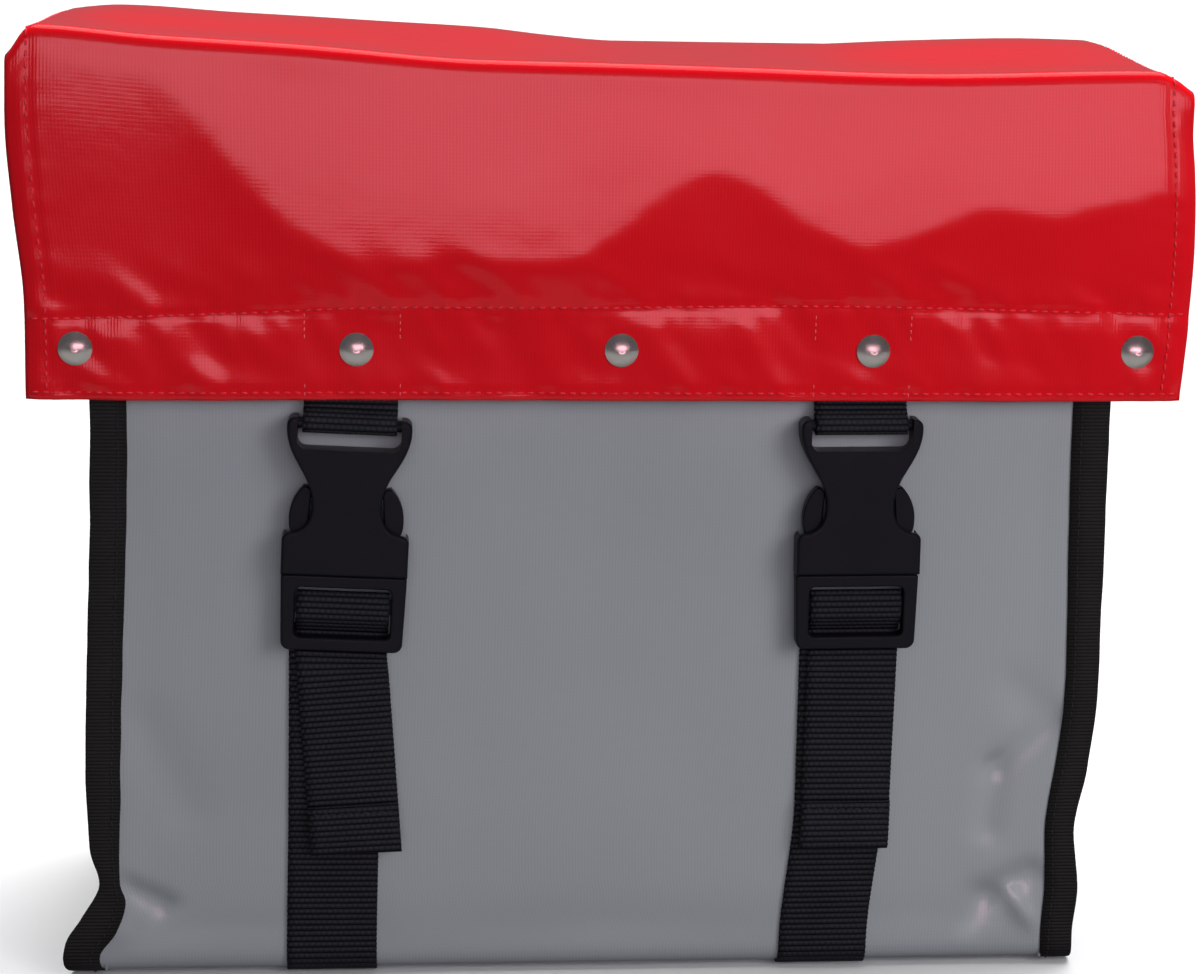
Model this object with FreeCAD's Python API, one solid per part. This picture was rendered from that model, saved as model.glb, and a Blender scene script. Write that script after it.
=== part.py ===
import FreeCAD, Part

# Pannier bag of coated fabric with an overhanging lid, two side-release buckles
# and two rack hooks. Millimetres, degrees.
#
# +X is to the right when the front of the bag is looked at, the front faces -Y and
# +Z is up. "Left" and "right" in names are the left and right of that front view.
# The origin is on the ground, below the middle of the whole bag.
#
# Pieces in front of the bag are placed by how far they stand proud of the outer face
# of its front panel, so front_y(0) is that face and front_y(10) is 10 mm in front.

import math
import os

Vector = FreeCAD.Vector

# ---------------------------------------------------------------------------
# Driving dimensions
# ---------------------------------------------------------------------------

# Fabric and webbing
SHEET = 1.2                    # coated fabric
TAPE = 0.8                     # grosgrain binding tape
STRAP = 1.5                    # webbing thickness
STRAP_WIDTH = 40.0
CLEARANCE = 0.3                # between pieces that slide or swing past each other

# Bag body
BODY_HALF_WIDTH = 206.0        # middle of the bag to the outer face of a side panel
BODY_DEPTH = 175.0             # outer face of the front to outer face of the back
BASE_Z = STRAP                 # the bag stands on the two straps below its bottom
MOUTH_Z = 406.5                # top edge of the body
BOTTOM_RADIUS = 9.0            # outer radius of the folds below front and back
SEAM_FIN = 15.0                # bound seams stand out this far from the side panels
BOARD = 3.0                    # stiffening boards inside the bag
BOARD_HALF_WIDTH = 198.0
BACK_BOARD_LOW_Z = 20.0
BACK_BOARD_TOP_Z = 398.0

# Lid
LID_HALF_WIDTH = 250.0
LID_TOP_Z = 409.0              # outer face of the lid
LID_PROUD = 7.6                # outer face of the lid's front
LID_FRONT_LOW_Z = 265.0        # lower edge of the lid's front
RIDGE_RADIUS = 7.0             # outer radius of the bend from lid top to lid front
HEM_HEIGHT = 40.0              # reinforcing strip along the lower edge
HINGE_TAB_LOW_Z = 378.0        # the lid is sewn to the back from here upwards

# Rivets along the lid's hem, set out by hand, so not quite evenly spaced
RIVET_X = (-226.0, -108.0, 5.0, 114.0, 230.0)
RIVET_Z = 287.0
RIVET_CAP_RADIUS = 7.2
RIVET_CAP_RIM = 0.7
RIVET_CAP_HEIGHT = 3.4
RIVET_STEM_RADIUS = 1.6
RIVET_WASHER_RADIUS = 5.5
RIVET_WASHER = 1.2
HOLE_CLEARANCE = 0.1

# Straps and buckles. Each side's buckle hangs from a strap end at STRAP_X and leans by
# LEAN degrees, which moves its lower end towards -X.
SIDES = ("left", "right")
STRAP_X = {"left": -110.5, "right": 110.0}
LEAN = {"left": 2.5, "right": -0.4}
LOWER_STRAP_X = {"left": -118.0, "right": 107.0}
LOWER_STRAP_TOP_Z = 165.0
BACK_STRAP_TOP_Z = 62.0
TAIL_SKEW = {"left": -6.5, "right": 1.0}    # each tail's own lean, like LEAN
STRAP_HANG_Z = 262.0           # the strap end swings about this height
STRAP_HANG_PROUD = 3.7

# Socket half of a buckle, which hangs from the lid
SOCKET_HALF_WIDTH = 27.3
SOCKET_WAIST_HALF = 14.9
SOCKET_WAIST_Z = 218.8
EAR_HALF_WIDTH = 26.6
EAR_CORNER_RADIUS = 3.4
SOCKET_TOP_Z = 257.5
SOCKET_LOW_Z = 188.3
SOCKET_BACK_PROUD = 2.2
SOCKET_FRONT_PROUD = 12.6
SOCKET_FACE = 2.2              # thickness of the socket's front wall
SOCKET_SIDE_WALL = 1.4
SOCKET_CHAMBER_TOP_Z = 231.0
SOCKET_BAR_PROUD = 7.2
SOCKET_BAR_Z = 254.4
SOCKET_BAR_RADIUS = 2.4
SOCKET_EDGE_RADIUS = 1.5
SLOT_HALF_WIDTH = 22.2
SLOT_LOW_Z = 243.8
SLOT_CORNER_RADIUS = 4.0
GUIDE_RIB_INNER = 7.6
GUIDE_RIB = 1.6

# Plug half of a buckle, on the lower strap
PLUG_HALF_WIDTH = 27.2
PLUG_LOW_HALF_WIDTH = 26.4
PLUG_TOP_Z = 188.0
PLUG_LOW_Z = 154.0
PLUG_BACK_PROUD = 3.5
PLUG_FRONT_PROUD = 9.9
PLUG_CORNER_RADIUS = 4.0
PLUG_TOP_CORNER_RADIUS = 1.6
PLUG_EDGE_RADIUS = 1.2
PLUG_SLOT_HALF_WIDTH = 20.8
PLUG_SLOT_LOW_Z = 160.0
PLUG_SLOT_TOP_Z = 182.3
PLUG_SLOT_CORNER_RADIUS = 2.6
GRIP_BAR_LOW_Z = 170.5
GRIP_BAR_TOP_Z = 177.0
GRIP_BAR_BACK_PROUD = 4.6
GRIP_BAR_FRONT_PROUD = 7.2
TONGUE_HALF_WIDTH = 5.5
TONGUE_TIP_Z = 223.0
TONGUE_TAPER = 5.0
PRONG_PIVOT_X = 19.5
PRONG_ROOT_RADIUS = 1.9
PRONG_BACK_PROUD = 4.5
PRONG_FRONT_PROUD = 9.3
PRONG_SHOULDER_X = 24.6
PRONG_EDGE_RADIUS = 0.9

# Free end of the lower strap
TAIL_PIVOT_Z = 151.6
TAIL_LOW_Z = 60.0
TAIL_FOLD = 15.0               # the end is folded over once and sewn down
TAIL_TRIM = 4.0                # drawn past the pivot, so that a skewed tail is cut off level
TAIL_BACK_PROUD = STRAP + CLEARANCE

# Rack hooks on the back
HOOK_X = (-90.0, 90.0)
HOOK_WIDTH = 24.0
HOOK_RADIUS = 6.5              # room for a 10 to 12 mm rack tube and its sleeve
HOOK_WALL = 5.0
HOOK_CENTRE_Z = 358.0
HOOK_LOW_Z = 316.0
HOOK_LIP_LOW_Z = 344.0
HOOK_RIVET_Z = (323.0, 337.0)
HOOK_RIVET_RADIUS = 2.0
HOOK_RIVET_HEAD_RADIUS = 4.0
HOOK_RIVET_HEAD = 1.2
BACKING_PLATE = 2.0
BACKING_PLATE_HALF_WIDTH = 16.0
BACKING_PLATE_TOP_Z = 346.0

# ---------------------------------------------------------------------------
# Worked-out places
# ---------------------------------------------------------------------------

HOOK_REACH = 2 * HOOK_WALL + 2 * HOOK_RADIUS
TOTAL_DEPTH = SOCKET_FRONT_PROUD + BODY_DEPTH + HOOK_REACH
FRONT_FACE_Y = SOCKET_FRONT_PROUD - TOTAL_DEPTH / 2
BACK_FACE_Y = FRONT_FACE_Y + BODY_DEPTH
FIN_EDGE_X = BODY_HALF_WIDTH + SEAM_FIN
RIDGE_Y = FRONT_FACE_Y - LID_PROUD + RIDGE_RADIUS
RIDGE_Z = LID_TOP_Z - RIDGE_RADIUS
HINGE_Y = BACK_FACE_Y + SHEET / 2
HINGE_Z = LID_TOP_Z - SHEET / 2
HEM_BACK_PROUD = LID_PROUD - 2 * SHEET
ANCHOR_BACK_PROUD = HEM_BACK_PROUD - 2 * STRAP
HOOK_CENTRE_Y = BACK_FACE_Y + HOOK_WALL + HOOK_RADIUS
TAIL_PIVOT_PROUD = TAIL_BACK_PROUD + STRAP / 2
PRONG_PIVOT_Z = PLUG_TOP_Z + CLEARANCE + PRONG_ROOT_RADIUS


def front_y(proud):
    """Y of a place that stands proud of the front panel's outer face."""
    return FRONT_FACE_Y - proud


# ---------------------------------------------------------------------------
# Drawing helpers
# ---------------------------------------------------------------------------

def line(start, end):
    return Part.LineSegment(start, end).toShape()


def arc(start, through, end):
    return Part.Arc(start, through, end).toShape()


def smooth(points):
    """Smooth curve through the points."""
    curve = Part.BSplineCurve()
    curve.interpolate(points)
    return curve.toShape()


def extruded(edges, direction):
    """Solid swept along direction from the closed outline made by the edges."""
    wire = Part.Wire(Part.__sortEdges__(edges))
    return Part.Face(wire).extrude(direction)


def block(x_low, x_high, y_low, y_high, z_low, z_high):
    corner = Vector(x_low, y_low, z_low)
    return Part.makeBox(x_high - x_low, y_high - y_low, z_high - z_low, corner)


def front_block(half_width, back_proud, front_proud, z_low, z_high):
    """Block across the middle of a buckle or strap, in front of the bag."""
    return block(-half_width, half_width, front_y(front_proud), front_y(back_proud), z_low, z_high)


def rod_along_y(x, z, radius, y_low, y_high):
    return Part.makeCylinder(radius, y_high - y_low, Vector(x, y_low, z), Vector(0, 1, 0))


def on_circle(centre_y, centre_z, radius, angle):
    """Point of a circle in the plane x = 0. Angle 0 is towards +Y, 90 towards +Z."""
    turn = math.radians(angle)
    return Vector(0, centre_y + radius * math.cos(turn), centre_z + radius * math.sin(turn))


def across(edges, x_low, x_high):
    """Solid with an outline in the YZ plane, from x_low to x_high."""
    solid = extruded(edges, Vector(x_high - x_low, 0, 0))
    solid.translate(Vector(x_low, 0, 0))
    return solid


def edges_facing_front(solid, y):
    """Edges of a solid that lie wholly in the plane at y."""
    def in_plane(edge):
        return all(abs(corner.Y - y) < 0.01 for corner in edge.Vertexes)
    return [edge for edge in solid.Edges if in_plane(edge)]


def as_one(shapes):
    fused = shapes[0].multiFuse(shapes[1:])
    return fused.removeSplitter()


# ---------------------------------------------------------------------------
# Bag body
# ---------------------------------------------------------------------------

def u_edges(offset, front_top_z, back_top_z):
    """Line down the front, round the bottom and up the back, offset outwards from the
    outer face of the body sheet."""
    radius = BOTTOM_RADIUS + offset
    fold_z = BASE_Z + BOTTOM_RADIUS
    front_fold_y = FRONT_FACE_Y + BOTTOM_RADIUS
    back_fold_y = BACK_FACE_Y - BOTTOM_RADIUS
    front_top = Vector(0, FRONT_FACE_Y - offset, front_top_z)
    front_low = on_circle(front_fold_y, fold_z, radius, 180)
    front_under = on_circle(front_fold_y, fold_z, radius, 270)
    back_under = on_circle(back_fold_y, fold_z, radius, 270)
    back_low = on_circle(back_fold_y, fold_z, radius, 0)
    back_top = Vector(0, BACK_FACE_Y + offset, back_top_z)
    return [
        line(front_top, front_low),
        arc(front_low, on_circle(front_fold_y, fold_z, radius, 225), front_under),
        line(front_under, back_under),
        arc(back_under, on_circle(back_fold_y, fold_z, radius, 315), back_low),
        line(back_low, back_top),
    ]


def u_band(outer, inner, x_low, x_high, front_top_z=MOUTH_Z, back_top_z=MOUTH_Z):
    """Sheet that goes down the front, under the bottom and up the back."""
    outer_edges = u_edges(outer, front_top_z, back_top_z)
    inner_edges = u_edges(inner, front_top_z, back_top_z)
    caps = [
        line(Vector(0, FRONT_FACE_Y - outer, front_top_z), Vector(0, FRONT_FACE_Y - inner, front_top_z)),
        line(Vector(0, BACK_FACE_Y + outer, back_top_z), Vector(0, BACK_FACE_Y + inner, back_top_z)),
    ]
    return across(outer_edges + inner_edges + caps, x_low, x_high)


def hook_rivet_holes():
    """Rods that cut the holes for the hooks' rivets through back, board, plates and hooks."""
    radius = HOOK_RIVET_RADIUS + HOLE_CLEARANCE
    y_low = BACK_FACE_Y - SHEET - BOARD - 2 * BACKING_PLATE
    y_high = BACK_FACE_Y + 2 * HOOK_WALL
    return [rod_along_y(x, z, radius, y_low, y_high) for x in HOOK_X for z in HOOK_RIVET_Z]


def body_sheet():
    """One piece of fabric that is the front, the bottom and the back. Its side edges
    stand out past the side panels as seam fins."""
    sheet = u_band(0, -SHEET, -FIN_EDGE_X, FIN_EDGE_X)
    return sheet.cut(hook_rivet_holes())


def mirrored(shape):
    return shape.mirror(Vector(0, 0, 0), Vector(1, 0, 0))


def side_panel():
    """Right side panel, with edges turned outwards to lie against the body sheet's fins."""
    outline = u_edges(-SHEET, MOUTH_Z, MOUTH_Z)
    mouth_edge = line(Vector(0, FRONT_FACE_Y + SHEET, MOUTH_Z), Vector(0, BACK_FACE_Y - SHEET, MOUTH_Z))
    panel = across(outline + [mouth_edge], BODY_HALF_WIDTH - SHEET, BODY_HALF_WIDTH)
    fin = u_band(-SHEET, -2 * SHEET, BODY_HALF_WIDTH - SHEET, FIN_EDGE_X)
    return as_one([panel, fin])


def binding_tape():
    """Right binding: tape folded over the seam fin's edge, down, under and up."""
    inner_face = -2 * SHEET
    outside = u_band(TAPE, 0, BODY_HALF_WIDTH, FIN_EDGE_X + TAPE)
    inside = u_band(inner_face, inner_face - TAPE, BODY_HALF_WIDTH, FIN_EDGE_X + TAPE)
    edge = u_band(TAPE, inner_face - TAPE, FIN_EDGE_X, FIN_EDGE_X + TAPE)
    return as_one([outside, inside, edge])


def back_board():
    inner_y = BACK_FACE_Y - SHEET - BOARD
    board = block(-BOARD_HALF_WIDTH, BOARD_HALF_WIDTH, inner_y, inner_y + BOARD,
                  BACK_BOARD_LOW_Z, BACK_BOARD_TOP_Z)
    return board.cut(hook_rivet_holes())


def base_board():
    floor_z = BASE_Z + SHEET
    return block(-BOARD_HALF_WIDTH, BOARD_HALF_WIDTH, FRONT_FACE_Y + BOTTOM_RADIUS,
                 BACK_FACE_Y - BOTTOM_RADIUS, floor_z, floor_z + BOARD)


def lower_strap(side):
    """Webbing sewn down the front, under the bottom and up the back."""
    middle = LOWER_STRAP_X[side]
    return u_band(STRAP, 0, middle - STRAP_WIDTH / 2, middle + STRAP_WIDTH / 2,
                  LOWER_STRAP_TOP_Z, BACK_STRAP_TOP_Z)


# ---------------------------------------------------------------------------
# Rack hooks
# ---------------------------------------------------------------------------

def rack_hook(x):
    """Hook that opens downwards, so that the bag drops onto a rack tube."""
    outer = HOOK_RADIUS + HOOK_WALL
    y, z = HOOK_CENTRE_Y, HOOK_CENTRE_Z
    lip_y = y + HOOK_RADIUS
    wall_y = y - HOOK_RADIUS
    profile = [
        line(Vector(0, BACK_FACE_Y, HOOK_LOW_Z), Vector(0, BACK_FACE_Y, z)),
        arc(Vector(0, BACK_FACE_Y, z), on_circle(y, z, outer, 90), Vector(0, y + outer, z)),
        line(Vector(0, y + outer, z), Vector(0, y + outer, HOOK_LIP_LOW_Z)),
        line(Vector(0, y + outer, HOOK_LIP_LOW_Z), Vector(0, lip_y, HOOK_LIP_LOW_Z)),
        line(Vector(0, lip_y, HOOK_LIP_LOW_Z), Vector(0, lip_y, z)),
        arc(Vector(0, lip_y, z), on_circle(y, z, HOOK_RADIUS, 90), Vector(0, wall_y, z)),
        line(Vector(0, wall_y, z), Vector(0, wall_y, HOOK_LOW_Z)),
        line(Vector(0, wall_y, HOOK_LOW_Z), Vector(0, BACK_FACE_Y, HOOK_LOW_Z)),
    ]
    return across(profile, x - HOOK_WIDTH / 2, x + HOOK_WIDTH / 2).cut(hook_rivet_holes())


def backing_plate(x):
    """Plate inside the bag that spreads the hook's load over the back board."""
    outer_y = BACK_FACE_Y - SHEET - BOARD
    plate = block(x - BACKING_PLATE_HALF_WIDTH, x + BACKING_PLATE_HALF_WIDTH,
                  outer_y - BACKING_PLATE, outer_y, HOOK_LOW_Z, BACKING_PLATE_TOP_Z)
    return plate.cut(hook_rivet_holes())


def hook_rivet(x, z):
    inner_y = BACK_FACE_Y - SHEET - BOARD - BACKING_PLATE
    outer_y = BACK_FACE_Y + HOOK_WALL
    shank = rod_along_y(x, z, HOOK_RIVET_RADIUS, inner_y - HOOK_RIVET_HEAD, outer_y + HOOK_RIVET_HEAD)
    inner_head = rod_along_y(x, z, HOOK_RIVET_HEAD_RADIUS, inner_y - HOOK_RIVET_HEAD, inner_y)
    outer_head = rod_along_y(x, z, HOOK_RIVET_HEAD_RADIUS, outer_y, outer_y + HOOK_RIVET_HEAD)
    return as_one([shank, inner_head, outer_head])


# ---------------------------------------------------------------------------
# Lid
# ---------------------------------------------------------------------------

def lid_top():
    """Top of the lid with the bend at its front edge. Its back edge is round about the
    hinge line, where the real fabric bends."""
    inner_radius = RIDGE_RADIUS - SHEET
    half = SHEET / 2
    low_z = HINGE_Z - half
    profile = [
        line(Vector(0, HINGE_Y, LID_TOP_Z), Vector(0, RIDGE_Y, LID_TOP_Z)),
        arc(Vector(0, RIDGE_Y, LID_TOP_Z), on_circle(RIDGE_Y, RIDGE_Z, RIDGE_RADIUS, 135),
            on_circle(RIDGE_Y, RIDGE_Z, RIDGE_RADIUS, 180)),
        line(on_circle(RIDGE_Y, RIDGE_Z, RIDGE_RADIUS, 180),
             on_circle(RIDGE_Y, RIDGE_Z, inner_radius, 180)),
        arc(on_circle(RIDGE_Y, RIDGE_Z, inner_radius, 180),
            on_circle(RIDGE_Y, RIDGE_Z, inner_radius, 135), Vector(0, RIDGE_Y, low_z)),
        line(Vector(0, RIDGE_Y, low_z), Vector(0, HINGE_Y, low_z)),
        arc(Vector(0, HINGE_Y, low_z), Vector(0, HINGE_Y + half, HINGE_Z), Vector(0, HINGE_Y, LID_TOP_Z)),
    ]
    return across(profile, -LID_HALF_WIDTH, LID_HALF_WIDTH)


def lid_rivet_holes():
    radius = RIVET_STEM_RADIUS + HOLE_CLEARANCE
    return [rod_along_y(x, RIVET_Z, radius, front_y(2 * LID_PROUD), FRONT_FACE_Y) for x in RIVET_X]


def lid_front():
    """Front of the lid, which hangs down from the bend."""
    panel = block(-LID_HALF_WIDTH, LID_HALF_WIDTH, front_y(LID_PROUD), front_y(LID_PROUD - SHEET),
                  LID_FRONT_LOW_Z, RIDGE_Z - CLEARANCE)
    return panel.cut(lid_rivet_holes())


def hem_strip():
    """Reinforcing strip sewn behind the lid's lower edge."""
    strip = block(-LID_HALF_WIDTH, LID_HALF_WIDTH, front_y(LID_PROUD - SHEET), front_y(HEM_BACK_PROUD),
                  LID_FRONT_LOW_Z, LID_FRONT_LOW_Z + HEM_HEIGHT)
    return strip.cut(lid_rivet_holes())


def strap_anchor(side):
    """Both plies of the upper strap, sewn and riveted behind the hem strip."""
    middle = STRAP_X[side]
    anchor = block(middle - STRAP_WIDTH / 2, middle + STRAP_WIDTH / 2, front_y(HEM_BACK_PROUD),
                   front_y(ANCHOR_BACK_PROUD), LID_FRONT_LOW_Z, LID_FRONT_LOW_Z + HEM_HEIGHT)
    return anchor.cut(lid_rivet_holes())


def lid_hinge_tab():
    """Back edge of the lid, sewn flat to the back of the bag."""
    return block(-BODY_HALF_WIDTH, BODY_HALF_WIDTH, BACK_FACE_Y, BACK_FACE_Y + SHEET,
                 HINGE_TAB_LOW_Z, LID_TOP_Z - SHEET - CLEARANCE)


def rivet_back_proud(x):
    """Where the stack that a rivet clamps ends: behind a strap, or behind the hem strip."""
    on_strap = any(abs(x - middle) < STRAP_WIDTH / 2 for middle in STRAP_X.values())
    return ANCHOR_BACK_PROUD if on_strap else HEM_BACK_PROUD


def rivet_cap(x):
    """Domed cap with its stem."""
    base_y = front_y(LID_PROUD)
    rise = RIVET_CAP_HEIGHT - RIVET_CAP_RIM
    dome_radius = (RIVET_CAP_RADIUS ** 2 + rise ** 2) / (2 * rise)
    mid_x = RIVET_CAP_RADIUS / 2
    mid_rise = math.sqrt(dome_radius ** 2 - mid_x ** 2) - (dome_radius - rise)
    centre = Vector(0, 0, 0)
    rim_low = Vector(RIVET_CAP_RADIUS, 0, 0)
    rim_high = Vector(RIVET_CAP_RADIUS, -RIVET_CAP_RIM, 0)
    crown = Vector(0, -RIVET_CAP_HEIGHT, 0)
    through = Vector(mid_x, -RIVET_CAP_RIM - mid_rise, 0)
    half = Part.Wire([line(centre, rim_low), line(rim_low, rim_high),
                      arc(rim_high, through, crown), line(crown, centre)])
    dome = Part.Face(half).revolve(centre, Vector(0, 1, 0), 360)
    dome.translate(Vector(x, base_y, RIVET_Z))
    stem = rod_along_y(x, RIVET_Z, RIVET_STEM_RADIUS, base_y - RIVET_CAP_RIM,
                       front_y(rivet_back_proud(x) - RIVET_WASHER))
    return as_one([dome, stem])


def rivet_washer(x):
    """Ring behind the hem that the stem is set in."""
    face_y = front_y(rivet_back_proud(x))
    ring = rod_along_y(x, RIVET_Z, RIVET_WASHER_RADIUS, face_y, face_y + RIVET_WASHER)
    hole = rod_along_y(x, RIVET_Z, RIVET_STEM_RADIUS + HOLE_CLEARANCE, face_y - 1, face_y + 2 * RIVET_WASHER)
    return ring.cut(hole)


# ---------------------------------------------------------------------------
# Buckles and straps, drawn about x = 0 and moved to their side afterwards
# ---------------------------------------------------------------------------

def tangent_point(point_y, point_z, centre_y, centre_z, radius, side):
    """Where a line from a point touches a circle. side is +1 or -1."""
    dy = point_y - centre_y
    dz = point_z - centre_z
    angle = math.degrees(math.atan2(dz, dy) + side * math.acos(radius / math.hypot(dy, dz)))
    return on_circle(centre_y, centre_z, radius, angle)


def upper_strap():
    """Webbing looped round the socket's bar, its two plies lying together above it."""
    bar_y = front_y(SOCKET_BAR_PROUD)
    outer_radius = SOCKET_BAR_RADIUS + CLEARANCE + STRAP
    inner_radius = SOCKET_BAR_RADIUS + CLEARANCE
    top_y = front_y(STRAP_HANG_PROUD)
    front_top = Vector(0, top_y - STRAP, STRAP_HANG_Z)
    back_top = Vector(0, top_y + STRAP, STRAP_HANG_Z)
    front_touch = tangent_point(front_top.y, front_top.z, bar_y, SOCKET_BAR_Z, outer_radius, 1)
    back_touch = tangent_point(back_top.y, back_top.z, bar_y, SOCKET_BAR_Z, outer_radius, -1)
    below_outer = on_circle(bar_y, SOCKET_BAR_Z, outer_radius, 270)
    outer = [
        arc(front_top, Vector(0, top_y, STRAP_HANG_Z + STRAP), back_top),
        line(front_top, front_touch),
        arc(front_touch, below_outer, back_touch),
        line(back_touch, back_top),
    ]
    meet = Vector(0, top_y - STRAP / 4, STRAP_HANG_Z - 2 * STRAP)
    front_inner = tangent_point(meet.y, meet.z, bar_y, SOCKET_BAR_Z, inner_radius, 1)
    back_inner = tangent_point(meet.y, meet.z, bar_y, SOCKET_BAR_Z, inner_radius, -1)
    inner = [
        line(meet, front_inner),
        arc(front_inner, on_circle(bar_y, SOCKET_BAR_Z, inner_radius, 270), back_inner),
        line(back_inner, meet),
    ]
    half = STRAP_WIDTH / 2
    return across(outer, -half, half).cut(across(inner, -half, half))


def both_sides(right_edges):
    """Edges of the right half of an outline, and the same edges mirrored to the left."""
    return right_edges + [mirrored(edge) for edge in right_edges]


def corner(tip, radius, side_x, side_z):
    """Quarter round that cuts the corner at tip. The outline arrives along X from the side
    side_x and leaves along Z to the side side_z, each 1 or -1."""
    start = tip + Vector(side_x * radius, 0, 0)
    end = tip + Vector(0, 0, side_z * radius)
    inset = radius * (1 - math.sqrt(0.5))
    return arc(start, tip + Vector(side_x * inset, 0, side_z * inset), end)


def socket_outline(y):
    """Hourglass seen from the front: ears at the top that sweep in to a narrow waist, which
    shows the prongs at both sides, and a wide mouth."""
    ear_top = Vector(EAR_HALF_WIDTH, y, SOCKET_TOP_Z)
    ear_side = Vector(EAR_HALF_WIDTH, y, SOCKET_TOP_Z - EAR_CORNER_RADIUS)
    ear_low = Vector(EAR_HALF_WIDTH - 0.5, y, SOCKET_TOP_Z - 9.5)
    neck = Vector(23.6, y, SLOT_LOW_Z - 2.8)
    above_waist = Vector(18.0, y, 231.0)
    waist = Vector(SOCKET_WAIST_HALF, y, SOCKET_WAIST_Z)
    below_waist = Vector(17.2, y, 211.0)
    shoulder = Vector(24.0, y, 207.0)
    mouth_shoulder = Vector(SOCKET_HALF_WIDTH, y, 203.4)
    mouth_low = Vector(SOCKET_HALF_WIDTH, y, SOCKET_LOW_Z)
    right = [
        line(Vector(0, y, SOCKET_TOP_Z), ear_top - Vector(EAR_CORNER_RADIUS, 0, 0)),
        corner(ear_top, EAR_CORNER_RADIUS, -1, -1),
        smooth([ear_side, ear_low, neck, above_waist, waist, below_waist, shoulder]),
        arc(shoulder, Vector(26.4, y, 205.9), mouth_shoulder),
        line(mouth_shoulder, mouth_low),
        line(mouth_low, Vector(0, y, SOCKET_LOW_Z)),
    ]
    return both_sides(right)


def round_cornered(half_width, back_proud, front_proud, z_low, z_high, radius):
    """Block like front_block's, with the four corners seen from the front rounded."""
    box = front_block(half_width, back_proud, front_proud, z_low, z_high)
    depth = front_proud - back_proud
    across_wall = [edge for edge in box.Edges if abs(edge.Length - depth) < 0.01]
    return box.makeFillet(radius, across_wall)


def buckle_socket():
    """Socket half. Its chamber is open towards the bag and at the mouth, and its two ribs
    guide the plug's tongue."""
    back_y = front_y(SOCKET_BACK_PROUD)
    front_face = front_y(SOCKET_FRONT_PROUD)
    shell = extruded(socket_outline(back_y), Vector(0, front_face - back_y, 0))
    shell = shell.makeFillet(SOCKET_EDGE_RADIUS, edges_facing_front(shell, front_face))
    strap_slot = round_cornered(SLOT_HALF_WIDTH, SOCKET_BACK_PROUD - 1, SOCKET_FRONT_PROUD + 1,
                                SLOT_LOW_Z, SOCKET_TOP_Z + 2 * SLOT_CORNER_RADIUS, SLOT_CORNER_RADIUS)
    chamber = front_block(SOCKET_HALF_WIDTH - SOCKET_SIDE_WALL, SOCKET_BACK_PROUD - 1,
                          SOCKET_FRONT_PROUD - SOCKET_FACE, SOCKET_LOW_Z - 1, SOCKET_CHAMBER_TOP_Z)
    bar = Part.makeCylinder(SOCKET_BAR_RADIUS, 2 * SLOT_HALF_WIDTH + 2,
                            Vector(-SLOT_HALF_WIDTH - 1, front_y(SOCKET_BAR_PROUD), SOCKET_BAR_Z),
                            Vector(1, 0, 0))
    ribs = []
    for x in (-GUIDE_RIB_INNER - GUIDE_RIB, GUIDE_RIB_INNER):
        ribs.append(block(x, x + GUIDE_RIB, front_y(SOCKET_FRONT_PROUD - SOCKET_FACE + 0.5),
                          front_y(SOCKET_BACK_PROUD + 1), SOCKET_LOW_Z + 4, SOCKET_CHAMBER_TOP_Z + 1))
    return as_one([shell.cut([chamber, strap_slot]), bar] + ribs)


def plug_outline(y):
    """Frame of the plug, with rounded corners and a slight taper."""
    top = Vector(PLUG_HALF_WIDTH, y, PLUG_TOP_Z)
    low = Vector(PLUG_LOW_HALF_WIDTH, y, PLUG_LOW_Z)
    top_side = top - Vector(0, 0, PLUG_TOP_CORNER_RADIUS)
    low_side = low + Vector(0, 0, PLUG_CORNER_RADIUS)
    right = [
        line(Vector(0, y, PLUG_TOP_Z), top - Vector(PLUG_TOP_CORNER_RADIUS, 0, 0)),
        corner(top, PLUG_TOP_CORNER_RADIUS, -1, -1),
        line(top_side, low_side),
        corner(low, PLUG_CORNER_RADIUS, -1, 1),
        line(low - Vector(PLUG_CORNER_RADIUS, 0, 0), Vector(0, y, PLUG_LOW_Z)),
    ]
    return both_sides(right)


def plug_tongue(y, depth):
    """Middle tongue that steers the plug into the socket."""
    half = TONGUE_HALF_WIDTH
    root_z = PLUG_TOP_Z - 1
    taper_z = TONGUE_TIP_Z - TONGUE_TAPER
    right = [
        line(Vector(0, y, root_z), Vector(half, y, root_z)),
        line(Vector(half, y, root_z), Vector(half, y, taper_z)),
        line(Vector(half, y, taper_z), Vector(half / 2, y, TONGUE_TIP_Z)),
        line(Vector(half / 2, y, TONGUE_TIP_Z), Vector(0, y, TONGUE_TIP_Z)),
    ]
    return extruded(both_sides(right), Vector(0, depth, 0))


def buckle_plug():
    """Plug frame: a ladder of two slots with the bar that grips the webbing."""
    back_y = front_y(PLUG_BACK_PROUD)
    front_face = front_y(PLUG_FRONT_PROUD)
    frame = extruded(plug_outline(back_y), Vector(0, front_face - back_y, 0))
    slots = round_cornered(PLUG_SLOT_HALF_WIDTH, PLUG_BACK_PROUD - 1, PLUG_FRONT_PROUD + 1,
                           PLUG_SLOT_LOW_Z, PLUG_SLOT_TOP_Z, PLUG_SLOT_CORNER_RADIUS)
    frame = frame.cut(slots)
    frame = frame.makeFillet(PLUG_EDGE_RADIUS, edges_facing_front(frame, front_face))
    grip_bar = front_block(PLUG_SLOT_HALF_WIDTH + 1, GRIP_BAR_BACK_PROUD, GRIP_BAR_FRONT_PROUD,
                           GRIP_BAR_LOW_Z, GRIP_BAR_TOP_Z)
    tongue_back = PRONG_BACK_PROUD + CLEARANCE
    tongue = plug_tongue(front_y(tongue_back), tongue_back - PRONG_FRONT_PROUD + CLEARANCE)
    return as_one([frame, grip_bar, tongue])


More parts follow.
